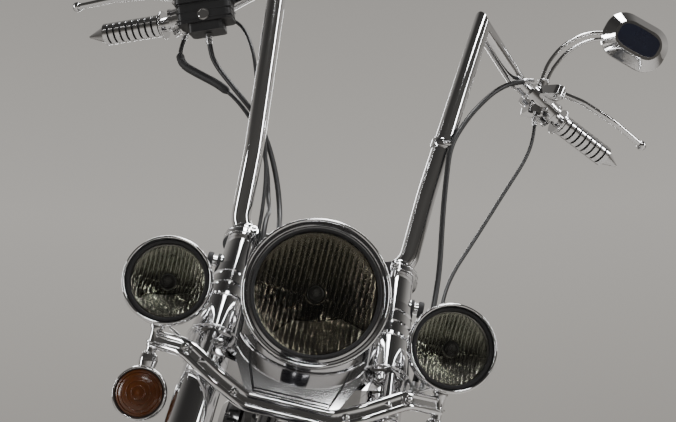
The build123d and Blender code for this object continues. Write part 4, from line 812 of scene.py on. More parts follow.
@dataclass
class Workshop:
    """Turns a mould into a finished piece that rides on the machine."""

    paint: Paintbox
    stances: dict[Body, Stance]
    made: list[str] = field(default_factory=list)

    def stance(self, body: Body) -> Stance:
        """Give the stance of the layout that a body is drawn in."""
        turned = body in (Body.STEERING, Body.FRONT_WHEEL)
        return self.stances[Body.STEERING if turned else Body.CHASSIS]

    def deliver(self, name: str, mould: Mould, body: Body, finishes: tuple[Finish, ...],
                replaces: tuple[str, ...] = (), sharp: float = 38.0) -> bpy.types.Object:
        """Set a moulded piece on its body.

        Args:
            name: the piece's name.
            mould: the shape, in the layout.
            body: the moving group that it rides on.
            finishes: its finishes, in the order of its face indices.
            replaces: CAD nodes that it stands for.
            sharp: the angle over which an edge stays sharp, in degrees.

        Returns:
            The piece.
        """
        shape = mould.mesh
        shape.transform(self.stance(body).matrix)
        bmesh.ops.recalc_face_normals(shape, faces=shape.faces)
        mesh = bpy.data.meshes.new(name)
        shape.to_mesh(mesh)
        shape.free()
        mesh.polygons.foreach_set("use_smooth", [True] * len(mesh.polygons))
        mesh.set_sharp_from_angle(angle=math.radians(sharp))
        piece = bpy.data.objects.new(name, mesh)
        bpy.context.scene.collection.objects.link(piece)
        self.paint.dress(piece, *finishes)
        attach(piece, body.value)
        if replaces:
            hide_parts(*replaces)
        self.made.append(name)
        LOG.info("%s: %d faces", name, len(mesh.polygons))
        return piece


@dataclass
class CordRoute:
    """One cable of the controls, held at both ends, with its route in millimetres of the layout."""

    name: str
    radius: float
    length: float
    route: tuple[tuple[float, float, float], ...]
    node: str
    stiffness: str = "medium"

    def lay_out(self, shop: Workshop, path: list[tuple[float, float, float]], name: str, radius: float
                ) -> bpy.types.Object:
        """Make a smooth curve through the parked machine along the route's points.

        Args:
            shop: the workshop.
            path: the points in the layout.
            name: the curve's name.
            radius: its radius in millimetres, or 0 for a bare line.

        Returns:
            The curve object.
        """
        curve = bpy.data.curves.new(name, "CURVE")
        curve.dimensions = "3D"
        curve.bevel_depth = radius * MM
        curve.bevel_resolution = 3
        curve.resolution_u = 6
        curve.use_fill_caps = True
        spline = curve.splines.new("NURBS")
        spline.points.add(len(path) - 1)
        stance = shop.stance(Body.STEERING)
        for target, point in zip(spline.points, path):
            target.co = (*stance.place(at(*point)), 1.0)
        spline.order_u = 3
        spline.use_endpoint_u = True
        return bpy.data.objects.new(name, curve)

    def centreline(self, shop: Workshop) -> list[Vector]:
        """Read the points of the route's own smooth line.

        Args:
            shop: the workshop.

        Returns:
            The points on the parked machine.
        """
        bare = self.lay_out(shop, list(self.route), self.name + "_line", 0)
        mesh = bpy.data.meshes.new_from_object(bare)
        points = [vert.co.copy() for vert in mesh.vertices]
        bpy.data.meshes.remove(mesh)
        bpy.data.objects.remove(bare)
        return points

    def build(self, shop: Workshop) -> None:
        """Make the cord in place of its CAD node.

        Args:
            shop: the workshop.
        """
        cord = self.lay_out(shop, list(self.route), self.name, self.radius)
        bpy.context.scene.collection.objects.link(cord)
        shop.paint.dress(cord, Finish.CABLE)
        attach(cord, Body.STEERING.value)
        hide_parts(self.node)
        start = shop.stance(Body.STEERING).place(at(*self.route[0]))
        shop.made.append(self.name)


@dataclass
class Dress:
    """A family of the machine's small parts, delivered through one workshop."""

    shop: Workshop


@dataclass
class Cables(Dress):
    """The control cables, the hose and the wires, with the sleeve and the end fittings on them."""

    routes: tuple[CordRoute, ...] = (
        CordRoute("clutch_line", 4.5, 0.752, (
            (306, 540, 1384), (276, 536, 1376), (240, 524, 1346), (206, 496, 1290), (182, 450, 1236),
            (167, 436, 1190), (170, 434, 1140), (177, 430, 1066), (188, 420, 980), (186, 392, 915),
            (180, 350, 855), (165, 282.4, 808.4), (163, 274.4, 766.4)), "clutch_cable"),
        CordRoute("left_wire", 3.2, 0.678, (
            (328, 574, 1332.5), (331, 566, 1300), (323, 550, 1245), (290, 528, 1165), (248, 492, 1060),
            (208, 444, 970), (198, 392, 900), (182, 350, 846), (176, 288.4, 802.4), (175, 274.4, 767.4)),
            "switch_wires"),
        CordRoute("right_wire", 3.2, 0.543, (
            (-297.9, 566.4, 1357.6), (-275.5, 560.4, 1369.3), (-246, 541, 1362), (-218, 512, 1334),
            (-192, 488, 1286), (-176, 480, 1240), (-158, 478, 1196), (-140, 478, 1150), (-122, 474, 1090),
            (-112, 454, 1036), (-105, 428.8, 966.8), (-105, 410.9, 938.2)), "switch_wires"),
        CordRoute("front_hose", 4.5, 0.686, (
            (-280.8, 509.6, 1311.5), (-272.4, 512, 1289.2), (-258, 512, 1262), (-206, 488, 1214),
            (-160, 488, 1178), (-126, 486, 1130), (-98, 472, 1070), (-80, 446, 1012), (-76, 408, 984),
            (-70, 368, 962), (-64, 340, 915), (-58, 324, 860), (-50, 326.6, 799.5), (-50, 303, 761.6)),
            "brake_hose"),
        CordRoute("throttle_line", 4.0, 0.777, (
            (-328, 574, 1332.5), (-333, 572, 1300), (-322, 556, 1262), (-280, 532, 1242), (-236, 510, 1224),
            (-196, 502, 1200), (-152, 502, 1158), (-122, 500, 1100), (-106, 490, 1040), (-97, 434, 1008),
            (-97, 372, 985), (-92, 344, 935), (-82, 334, 880), (-70, 326.7, 805.3), (-70, 300.4, 763.2)),
            "throttle_cable"))
    sleeve_share: tuple[float, float] = (0.07, 0.30)
    sleeve_radius: float = 7.5

    def build(self) -> None:
        """Make every cord, the throttle's sleeve and the fittings."""
        for route in self.routes:
            route.build(self.shop)
        self._sleeve()
        self._fittings()

    def _sleeve(self) -> None:
        """Slip the thick tapered sleeve over the throttle cable."""
        line = self.routes[-1].centreline(self.shop)
        first, last = (round(share * (len(line) - 1)) for share in self.sleeve_share)
        points = line[first:last + 1]
        radii = [self.sleeve_radius] * len(points)
        radii[0] = radii[-1] = self.routes[-1].radius + 0.4
        mould = Mould()
        inverse = self.shop.stance(Body.STEERING).matrix.inverted()
        mould.hose([inverse @ point for point in points], radii)
        self.shop.deliver("throttle_sleeve", mould, Body.STEERING, (Finish.RUBBER,))

    def _fittings(self) -> None:
        """Crimp a ferrule onto both ends of each cable and the hose."""
        mould = Mould()
        for route in self.routes:
            for end, inner in ((route.route[0], route.route[1]), (route.route[-1], route.route[-2])):
                foot, along = at(*end), (at(*inner) - at(*end)).normalized()
                wide = route.radius + 1.6
                mould.turn(foot, along, [
                    (0.5, route.radius), (0.5, wide), (9, wide), (10, wide - 0.8), (12, wide - 0.8),
                    (13, wide), (15, wide), (20, route.radius + 0.3)], 24)
        self.shop.deliver("cable_ferrules", mould, Body.STEERING, (Finish.ALLOY,))


@dataclass
class LampDress(Dress):
    """The faceted bowls, bulb shields, gaskets and bright beads of the three round lamps and the signals."""

    headlight: tuple[float, float, float] = (0.0, 205.04, 864.96)
    passing: tuple[float, float, float] = (198.0, 235.04, 838.96)
    signal: tuple[float, float, float] = (196.0, 246.04, 686.96)
    headlight_mouth: float = 86.0
    passing_mouth: float = 49.5
    headlight_flute: float = 7.4
    passing_flute: float = 5.6

    def build(self) -> None:
        """Dress every lamp."""
        self._headlight_bowl()
        self._passing_bowls()
        self._rings()
        self._signals()

    def _fluted(self, mouth: float, flute: float, bowl: float,
                proud: float) -> Callable[[float, float], float]:
        """Give the depth of a bowl whose upright flutes break at mid-height.

        Args:
            mouth: the bowl's radius.
            flute: the width of a flute.
            bowl: the bowl's depth in its middle.
            proud: how far a flute stands forward.

        Returns:
            The depth at a place (across, up).
        """
        def depth(across: float, up: float) -> float:
            share = min(1.0, math.hypot(across, up) / mouth)
            if up < 0:
                phase = across / flute + 0.5
                step = math.sin(math.pi * (up / flute / 3.1 + across * 0.013))
            else:
                phase = across / flute
                step = 0.35 * math.sin(up / 9)
            wave = abs(math.sin(math.pi * phase))
            fade = max(0.0, 1 - share ** 8)
            return bowl * (1 - share ** 2) - proud * fade * (wave + 0.3 * step)
        return depth

    def _headlight_bowl(self) -> None:
        """Press the headlight's fluted bowl with its bulb shield."""
        mould = Mould()
        centre = at(*self.headlight)
        mould.dish(centre + BACK * 10 * MM, self.headlight_mouth - 1.5, (150, 60),
                   self._fluted(self.headlight_mouth, self.headlight_flute, 30, 3.4))
        mouth = self.headlight_mouth
        mould.turn(centre, BACK, [(8.4, mouth - 4), (10.5, mouth - 1), (11, mouth + 6)], 96)
        mould.turn(centre, BACK, [(9.5, 0), (9.5, 8.8), (11.5, 11), (16, 11), (16, 8.5), (38, 8.5)], 40,
                   material=1)
        mould.ring(centre + BACK * 15 * MM, BACK, 13.4, 1.6, 40)
        self.shop.deliver("headlight_bowl", mould, Body.STEERING, (Finish.BOWL, Finish.SHIELD),
                          replaces=("headlight_reflector",), sharp=24)

    def _passing_bowls(self) -> None:
        """Press the passing lamps' faceted bowls with their bulb shields."""
        mould = Mould()
        for side in SIDES:
            centre = flip(at(*self.passing), side)
            mould.dish(centre + BACK * 8.8 * MM, self.passing_mouth, (110, 44),
                       self._fluted(self.passing_mouth, self.passing_flute, 19, 2.6))
            mould.turn(centre, BACK, [
                (6.6, 0), (6.6, 8.2), (8.4, 10.4), (13, 10.4), (13, 8.6), (28, 8.6)], 36, material=1)
            mould.ring(centre + BACK * 12 * MM, BACK, 11.6, 1.0, 36)
        # The passing lamps' bowls take the lighter reflector copy, whose colour is a painted reflection of
        # the room.
        self.shop.deliver("passing_bowls", mould, Body.STEERING, (Finish.BOWL_PAINTED_REFLECTION, Finish.SHIELD), sharp=24)

    def _rings(self) -> None:
        """Roll the bright beads and the black gaskets of the three rings."""
        beads, gaskets = Mould(), Mould()
        centre = at(*self.headlight)
        beads.ring(centre - BACK * 7.6 * MM, BACK, 97.6, 2.3, 128)
        beads.ring(centre + BACK * 17 * MM, BACK, 98.6, 1.5, 128)
        gaskets.turn(centre, BACK, [
            (-3.2, 82.2), (-7.9, 83.4), (-8.5, 85.6), (-6.0, 87.4), (-3.6, 89.0), (-2.4, 89.2), (-2.0, 82.2)],
            112, closed=True)
        for side in SIDES:
            centre = flip(at(*self.passing), side)
            beads.ring(centre - BACK * 6.8 * MM, BACK, 58.4, 1.9, 96)
            gaskets.turn(centre, BACK, [
                (0.2, 50.0), (-4.2, 50.6), (-4.9, 52.6), (-4.2, 54.9), (-2.6, 55.2), (-2.2, 50.2)],
                80, closed=True)
            centre = flip(at(*self.signal), side)
            beads.ring(centre - BACK * 5.4 * MM, BACK, 33.4, 1.5, 72)
            gaskets.turn(centre, BACK, [(-3.4, 30.4), (-6.0, 30.9), (-6.3, 32.0), (-3.6, 32.6)], 72,
                         closed=True)
        self.shop.deliver("lamp_beads", beads, Body.STEERING, (Finish.CHROME,))
        self.shop.deliver("lamp_gaskets", gaskets, Body.STEERING, (Finish.RUBBER,))

    def _signals(self) -> None:
        """Mould the rings of prisms on the amber lenses."""
        mould = Mould()
        for side in SIDES:
            centre = flip(at(*self.signal), side)
            for radius, proud in ((27.5, 7.6), (22.5, 10.2), (16.0, 12.1), (9.0, 13.4)):
                mould.ring(centre - BACK * proud * MM, BACK, radius, 0.9, 56)
        self.shop.deliver("signal_prisms", mould, Body.STEERING, (Finish.AMBER,))


@dataclass
class FrontDress(Dress):
    """The small parts of the fork, the lamp bar, the handlebar and the hand controls."""

    spread: float = 122.0
    leg_back: float = -44.91
    dock_foot: tuple[float, float, float] = (122.0, 361.8, 899.0)
    dock_line: Vector = field(default_factory=lambda: Vector((0.99756, -0.06976, 0)))
    grip_start: tuple[float, float, float] = (374.0, 587.0, 1340.0)
    grip_tip: tuple[float, float, float] = (516.0, 635.0, 1298.0)
    rib_count: int = 9
    rib_pitch: float = 12.5
    lamp_post: tuple[float, float] = (198.0, 257.0)
    lever_pivot: tuple[float, float, float] = (352.0, 531.0, 1372.0)
    housing: tuple[float, float, float] = (328.0, 574.0, 1363.0)
    mirror_foot: tuple[float, float, float] = (330.0, 562.0, 1400.0)
    mirror: tuple[float, float, float] = (479.0, 548.0, 1512.0)
    mirror_tip: float = math.radians(14)
    mirror_roll: float = math.radians(16)
    reservoir: tuple[float, float, float] = (-290.0, 507.0, 1336.0)
    reservoir_up: tuple[float, float, float] = (-0.35, -0.10, 0.93)
    reservoir_across: tuple[float, float, float] = (-0.9, 0.2, -0.35)

    def build(self) -> None:
        """Make every small part of the front end."""
        self._docks()
        self._fork_hardware()
        self._bar_hardware()
        self._grip_bands()
        self._levers()
        self._reservoir()
        self._mirrors()

    def _docks(self) -> None:
        """Fit the black bush and head of each docking post."""
        mould = Mould()
        for side in SIDES:
            foot, line = flip(at(*self.dock_foot), side), flip(self.dock_line, side)
            mould.turn(foot, line, [(24.4, 9.1), (24.4, 12.6), (28.5, 13.2), (30, 9.1)], 32)
            mould.turn(foot, line, [(36, 9.1), (36.5, 12.4), (43.2, 12.4), (44.4, 10.8), (44.6, 0)], 32)
        self.shop.deliver("dock_bushes", mould, Body.STEERING, (Finish.RUBBER,))

    def _fork_hardware(self) -> None:
        """Fit the fork caps, the stem nut, the pinch bolts and the bright rings of the covers."""
        mould = Mould()
        for side in SIDES:
            cap = on_fork(side * self.spread, self.leg_back, 1097)
            mould.turn(cap, STEER_AXIS, [(0, 23), (3, 24), (6, 23), (7, 18), (7, 0)], 40)
            mould.bolt(cap + STEER_AXIS * 6.5 * MM, STEER_AXIS, 26, 7)
            for height in (1077, 1087):
                mould.ring(on_fork(side * self.spread, self.leg_back, height), STEER_AXIS, 30.6, 0.9, 56)
            for up in (866, 1082):
                front = on_fork(side * (self.spread - 12), self.leg_back - 30.5, up)
                mould.bolt(front, FORK_FRONT, 11, 6)
            for height, radius, wire in ((890, 36.2, 1.4), (949, 33.3, 1.2), (693, 29.6, 1.3)):
                mould.ring(on_fork(side * self.spread, self.leg_back, height), STEER_AXIS, radius, wire, 64)
        mould.turn(on_fork(0, 0, 1091), STEER_AXIS, [(0, 22), (4, 24), (9, 22), (12, 14), (13, 0)], 44)
        for side in SIDES:
            for reach in (-12, 12):
                mould.bolt(on_fork(side * 45 + reach, -25, 1133), FORK_FRONT, 9, 4)
        self.shop.deliver("fork_hardware", mould, Body.STEERING, (Finish.CHROME,))

    def _bar_hardware(self) -> None:
        """Fit the lamp posts' nuts, the lamp bar's bolts, its thin stays and the cable clip's screw."""
        mould = Mould()
        for side in SIDES:
            post = flip(at(*self.lamp_post, 0), side)
            mould.bolt(post + at(0, 0, 756.5), DOWN, 15, 6)
            mould.turn(post + at(0, 0, 776), UP, [(0, 7.2), (0, 10.5), (4, 10.5), (5, 7.2)], 28)
            mould.turn(post + at(0, 0, 735), UP, [(0, 7.1), (0, 9.6), (3, 10.4), (6, 9.6), (6, 7.1)], 28)
            mould.rod(flip(at(196, 252, 787), side), flip(at(163, 241, 771), side), 1.9)
            mould.bolt(flip(at(150, 213.4, 757), side), Vector((0, -1, 0.1)), 10, 5)
            mould.bolt(flip(at(74, 204.5, 716), side), Vector((0, -1, 0.1)), 9, 4)
        upright = Vector((35, 14, 324)).normalized()
        clip = at(156.5, 455.8, 1193.5)
        mould.turn(clip, upright, [(-7, 15.7), (-7, 18.6), (-5, 19.8), (5, 19.8), (7, 18.6), (7, 15.7)], 48)
        mould.rod(clip + at(0, -17, 0), clip + at(13, -17, 1), 5.0)
        mould.bolt(clip + at(0, -19.5, 0), Vector((0.05, -1, 0)), 6, 3)
        self.shop.deliver("lamp_bar_hardware", mould, Body.STEERING, (Finish.CHROME,))
        seams = Mould()
        for side in SIDES:
            seams.hose([flip(at(x, y, z), side) for x, y, z in (
                (50, 207.8, 725), (58, 213.5, 745), (64, 220, 760), (68, 226, 776))], [0.9] * 4, 8)
        seams.hose([at(x, 208.3, 727) for x in (-50, -20, 20, 50)], [0.9] * 4, 8)
        self.shop.deliver("panel_seams", seams, Body.STEERING, (Finish.RUBBER,))

    def _grip_bands(self) -> None:
        """Press a rubber band into each groove of the grips, and ring their flanges."""
        bands, rings = Mould(), Mould()
        for side in SIDES:
            start = flip(at(*self.grip_start), side)
            line = (flip(at(*self.grip_tip), side) - start).normalized()
            for index in range(self.rib_count):
                place = 5 + index * self.rib_pitch
                bands.turn(start, line, [(place + 0.2, 16.6), (place + 0.3, 18.2), (place + 1.6, 18.8),
                                         (place + 2.9, 18.2), (place + 3, 16.6)], 36)
            rings.ring(start + line * 2.5 * MM, line, 24.6, 1.2, 48)
            rings.ring(start + line * 117.5 * MM, line, 17.6, 1.0, 40)
        self.shop.deliver("grip_bands", bands, Body.STEERING, (Finish.RUBBER,))
        self.shop.deliver("grip_rings", rings, Body.STEERING, (Finish.CHROME,))

    def _levers(self) -> None:
        """Fit the levers' pivot screws, the switch buttons and the housings' clamp screws."""
        mould, buttons = Mould(), Mould()
        for side in SIDES:
            pivot = flip(at(*self.lever_pivot), side)
            pin = flip(Vector((0.2, 0, 0.98)), side).normalized()
            mould.bolt(pivot + pin * 9 * MM, pin, 10, 3.5)
            mould.bolt(pivot - pin * 9 * MM, -pin, 10, 3.5)
            housing = flip(at(*self.housing), side)
            for reach, lift in ((-14, -15), (12, -21)):
                mould.bolt(housing + flip(at(reach, -23, lift), side), Vector((0, -1, -0.2)), 6, 3)
            for reach in (-13, 1, 14):
                place = Matrix.Translation(housing + flip(at(reach, -17, -28), side)) @ Matrix.Rotation(
                    side * 0.25, 4, "Z")
                buttons.block(place, (9, 5, 7), 1.2)
        self.shop.deliver("control_screws", mould, Body.STEERING, (Finish.CHROME,))
        self.shop.deliver("switch_buttons", buttons, Body.STEERING, (Finish.PLASTIC,))

    def _reservoir(self) -> None:
        """Dress the brake reservoir with a lid bead, screws and a sight glass."""
        mould = Mould()
        up = Vector(self.reservoir_up).normalized()
        across = Vector(self.reservoir_across)
        across = (across - up * across.dot(up)).normalized()
        deep = up.cross(across)
        place = seat(at(*self.reservoir), across, deep, up)
        top = place @ Matrix.Translation(at(0, 0, 35.6))
        mould.block(top, (88, 40, 2.4), 1.0)
        for reach in (-38, 38):
            mould.bolt(place @ at(reach, 0, 36.5), up, 8, 2.5, material=1)
        for side in SIDES:
            mould.turn(place @ at(0, side * 24.2, 2), deep * side, [
                (-1, 10.5), (1.6, 10.5), (2.2, 8.4), (1.0, 8.0), (1.0, 0)], 32, material=1)
        for lift in (-4, 10, 23):
            mould.block(place @ Matrix.Translation(at(0, 0, lift)), (97.6, 49.6, 1.2), 0.5)
        self.shop.deliver("reservoir_trim", mould, Body.STEERING, (Finish.PLASTIC, Finish.CHROME))

    def _mirrors(self) -> None:
        """Set the mirror glass on the rider's side, and on the front of each head a dark blue plate that is a
        painted reflection of a blue wall.
        """
        glass, plates = Mould(), Mould()
        tip, roll = self.mirror_tip, self.mirror_roll
        face = Vector((0, -math.cos(tip), -math.sin(tip)))
        for side in SIDES:
            along = flip(Vector((math.cos(roll), 0, -math.sin(roll))), side)
            along = (along - face * along.dot(face)).normalized()
            high = face.cross(along)
            place = seat(flip(at(*self.mirror), side), along, high, face)
            glass.plate(place, (104, 66), -0.3, -0.9)
            # Each plate's dark blue lacquer is a painted reflection of a blue wall in the chrome back of the
            # mirror head.
            plates.plate(place, (80, 44), 29.2, 1.0)
            plates.ring(flip(at(*self.mirror_foot), side), UP, 9.8, 1.3, 32, material=1)
        self.shop.deliver("mirror_glass", glass, Body.STEERING, (Finish.MIRROR,))
        self.shop.deliver("mirror_plates", plates, Body.STEERING, (Finish.PAINTED_BLUE_REFLECTION, Finish.CHROME))


@dataclass
class WheelDress(Dress):
    """A wheel's treaded tyre, spoke nipples, disc bolts and hub cap."""

    prefix: str
    body: Body
    axle: tuple[float, float, float]
    width: float
    rim_width: float
    disc_side: int
    disc_face: float
    crown: float = 320.0
    bead: float = 205.0
    pitches: int = 72
    groove: float = 4.2
    spokes: int = 40
    tread_angle: float = math.radians(80)
    tread_cuts: tuple[int, int] = (44, 6)
    nipple_radius: float = 178.0
    disc_thickness: float = 5.1
    disc_bolts: int = 5
    bolt_circle: float = 36.0
    hub_half: float = 56.0
    hub_radius: float = 44.2

    def build(self) -> None:
        """Make the wheel's dress."""
        self._tyre()
        self._metal()

    def _section(self, angle: float) -> tuple[float, float]:
        """Find a point of the round crown.

        Args:
            angle: the angle from the crown's top.

        Returns:
            The point as (across, radius).
        """
        half = self.width / 2
        return half * math.sin(angle), self.crown - half + half * math.cos(angle)

    def _depth(self, across: float, along: float) -> float:
        """Give how deep the tread is cut: three grooves round the tyre, and slanted sipes.

        Args:
            across: the place across the tread, from -1 to 1.
            along: the place along one pitch, from 0 to 1.

        Returns:
            The depth.
        """
        third = abs(abs(across) - 0.40)
        if third < 0.045 or abs(across) < 0.03:
            return self.groove
        slant = (along + abs(across) * 1.3) % 1.0
        if 0.12 < abs(across) < 0.92 and slant < 0.17:
            return self.groove * 0.8
        return 0.0

    def _tyre(self) -> None:
        """Vulcanise the tyre: one pitch of tread repeated round the axle, then the walls."""
        mould = Mould()
        shape = mould.mesh
        centre = at(*self.axle)
        made = bmesh.ops.create_grid(shape, x_segments=self.tread_cuts[0], y_segments=self.tread_cuts[1],
                                     size=1.0)
        pitch = math.tau / self.pitches
        for vert in made["verts"]:
            across, along = vert.co.x, (vert.co.y + 1) / 2
            side, radius = self._section(across * self.tread_angle)
            radius -= self._depth(across, along) * max(0.2, math.cos(across * 1.3))
            turn = along * pitch
            vert.co = centre + at(side, math.sin(turn) * radius, math.cos(turn) * radius)
        bmesh.ops.spin(shape, geom=shape.verts[:] + shape.edges[:] + shape.faces[:], cent=centre, axis=RIGHT,
                       dvec=(0, 0, 0), angle=math.tau - pitch, steps=self.pitches - 1, use_merge=False,
                       use_duplicate=True)
        bmesh.ops.remove_doubles(shape, verts=shape.verts, dist=0.05 * MM)
        shoulder_side, shoulder_radius = self._section(self.tread_angle)
        half, wall = self.width / 2, self.crown - self.width / 2
        for side in SIDES:
            line = Vector((side, 0, 0))
            bead_half = self.rim_width / 2 - 4.8
            middle = (wall + self.bead + 12) / 2
            mould.turn(centre, line, [
                (shoulder_side, shoulder_radius), (half * 0.985, wall + 4), (half, wall - 3),
                (half + 0.8, wall - 9), (half - 1.0, wall - 12), (half * 0.955, middle + 8),
                (half * 0.9, middle - 4), (half * 0.84, middle - 12), (bead_half + 5, self.bead + 17),
                (bead_half + 3, self.bead + 13.5), (bead_half, self.bead + 12.5),
                (bead_half, self.bead + 0.4), (0, self.bead + 0.4)], 108)
        self.shop.deliver(self.prefix + "_treaded_tyre", mould, self.body, (Finish.TYRE,),
                          replaces=(self.prefix + "_tyre",), sharp=50)

    def _metal(self) -> None:
        """Fit the nipples, the disc's bolts and buttons, the hub's rings and the valve."""
        mould = Mould()
        centre = at(*self.axle)
        for index, angle in enumerate(around(self.spokes)):
            side = 1 if index % 2 else -1
            outer = Matrix.Rotation(angle, 3, "X") @ UP
            foot = centre + Vector((side * 8 * MM, 0, 0)) + outer * self.nipple_radius * MM
            mould.rod(foot, foot + outer * 9 * MM, 3.0, 8, end_radius=4.2)
        outward = Vector((self.disc_side, 0, 0))
        face = centre + outward * (self.disc_face + self.disc_thickness) * MM
        for angle in around(self.disc_bolts, 0.3):
            out = Matrix.Rotation(angle, 3, "X") @ UP
            mould.bolt(face + out * self.bolt_circle * MM, outward, 9, 2.4)
        for side in SIDES:
            line = Vector((side, 0, 0))
            mould.ring(centre + line * self.hub_half * MM, line, self.hub_radius, 1.3, 64)
        valve = Matrix.Rotation(0.08, 3, "X") @ UP
        mould.rod(centre + valve * 182 * MM, centre + valve * 148 * MM, 3.2, 12)
        mould.rod(centre + valve * 156 * MM, centre + valve * 144 * MM, 4.2, 12)
        self.shop.deliver(self.prefix + "_wheel_metal", mould, self.body, (Finish.CHROME,))


@dataclass
class EngineDress(Dress):
    """The engine's covers, bolts, trims and the pipes' shields."""

    crank: tuple[float, float] = (790.0, 370.0)
    lean: float = math.radians(22.5)
    primary_face: float = 171.5
    air_centre: tuple[float, float] = (790.0, 640.0)
    air_studs: int = 30
    pipe_side: float = -202.0
    pipe_starts: tuple[tuple[float, float], ...] = ((1150.0, 205.0), (1250.0, 306.0))

    def build(self) -> None:
        """Make every engine trim."""
        self._rockers()
        self._covers()
        self._air_cleaner()
        self._pipes()

    def _rockers(self) -> None:
        """Cap the rocker boxes with chrome covers and bolts."""
        covers = Mould()
        for lean in (-1, 1):
            line = Vector((0, lean * math.sin(self.lean), math.cos(self.lean)))
            fore = Vector((0, math.cos(self.lean), -lean * math.sin(self.lean)))
            base = at(0, *self.crank) + line * 372 * MM
            place = seat(base, LEFT, fore, line)
            covers.block(place @ Matrix.Translation(at(0, 0, 4)), (160, 106, 12), 5)
            covers.block(place @ Matrix.Translation(at(0, 0, 12)), (120, 66, 8), 3.5)
            for x in (-66, 0, 66):
                for y in (-42, 42):
                    covers.bolt(place @ at(x, y, 9.5), line, 9, 4)
            covers.turn(place @ at(82, 0, -140), LEFT, [(0, 8), (10, 8), (12, 6), (24, 5), (24, 0)], 20,
                        material=1)
        self.shop.deliver("rocker_covers", covers, Body.CHASSIS, (Finish.CHROME, Finish.PLASTIC))

    def _covers(self) -> None:
        """Bolt the primary cover, its round inspection plates and the timing cover."""
        mould = Mould()
        for y, z, radius, count in ((790, 370, 78, 7), (1084, 360, 90, 8)):
            for index in range(count):
                angle = math.pi * (0.5 if y < 900 else -0.5) + math.pi * (index + 0.5) / count
                foot = at(self.primary_face, y + radius * math.cos(angle), z + radius * math.sin(angle))
                mould.bolt(foot, LEFT, 8, 3)
        for y in (860, 935, 1010):
            mould.bolt(at(self.primary_face, y, 451 - (y - 860) * 0.01), LEFT, 8, 3)
            mould.bolt(at(self.primary_face, y, 287 - (y - 860) * 0.12), LEFT, 8, 3)
        mould.turn(at(171, 1084, 360), LEFT, [(0, 62), (6, 62), (9, 56), (11, 30), (11, 0)], 72)
        mould.turn(at(171, 800, 372), LEFT, [(0, 38), (5, 38), (7, 33), (8, 0)], 56)
        for angle in around(6):
            mould.bolt(at(178.5, 1084 + 52 * math.cos(angle), 360 + 52 * math.sin(angle)), LEFT, 6, 2)
        mould.turn(at(-112, 780, 390), RIGHT, [(0, 84), (5, 84), (9, 76), (10, 40), (14, 34), (16, 0)], 72)
        for angle in around(6, 0.4):
            mould.bolt(at(-116, 780 + 78 * math.cos(angle), 390 + 78 * math.sin(angle)), RIGHT, 7, 3)
        for lean in (-1, 1):
            line = Vector((0, lean * math.sin(self.lean), math.cos(self.lean)))
            block = at(-88, *self.crank) + line * 118 * MM
            place = seat(block, LEFT, Vector((0, line.z, -line.y)), line)
            mould.block(place, (58, 66, 26), 6)
            for x in (-20, 20):
                mould.bolt(place @ at(-29, x, 0), RIGHT, 8, 3)
        mould.turn(at(0, 672, 300), Vector((0, -1, 0.1)), [(0, 30), (4, 38), (60, 38), (66, 34), (68, 0)], 48)
        self.shop.deliver("engine_covers", mould, Body.CHASSIS, (Finish.CHROME,))
        nuts = Mould()
        for y in (960, 1150):
            for z in (300, 430):
                nuts.bolt(at(-96, y, z), RIGHT, 11, 5)
        self.shop.deliver("gearbox_bolts", nuts, Body.CHASSIS, (Finish.STEEL,))

    def _air_cleaner(self) -> None:
        """Dress the round air cleaner with a stepped face, a ring and a centre bolt."""
        mould = Mould()
        face = at(-168, *self.air_centre)
        mould.turn(face, RIGHT, [(-3, 46), (1, 45), (3, 38), (2, 34), (3.5, 28), (3.5, 0)], 64)
        mould.bolt(face + RIGHT * 3.5 * MM, RIGHT, 12, 4)
        mould.ring(at(-150, *self.air_centre), RIGHT, 95.6, 1.6, 96)
        for angle in around(self.air_studs):
            place = Matrix.Translation(at(-136, *self.air_centre)) @ Matrix.Rotation(angle, 4, "X") @ (
                Matrix.Translation(at(0, 0, 96.2)))
            mould.block(place, (18, 5, 1.6), 0.5, 1)
        self.shop.deliver("air_cleaner_trim", mould, Body.CHASSIS, (Finish.CHROME, Finish.PLASTIC))

    def _pipes(self) -> None:
        """Clamp the mufflers and cap their ends."""
        mould = Mould()
        for y, z in self.pipe_starts:
            mould.turn(at(self.pipe_side, y, z), BACK, [(60, 46.3), (62, 48.2), (74, 48.2), (76, 46.3)], 56)
            mould.turn(at(self.pipe_side, y, z), BACK, [
                (688, 46.2), (690, 48.0), (716, 48.0), (718, 45), (716, 36), (700, 33.8)], 56)
            mould.turn(at(self.pipe_side, y, z), BACK, [(-2, 23), (-1, 27), (16, 27), (18, 23)], 40)
            mould.bolt(at(self.pipe_side, y + 8, z - 26), DOWN, 9, 5)
        self.shop.deliver("muffler_trim", mould, Body.CHASSIS, (Finish.CHROME,))


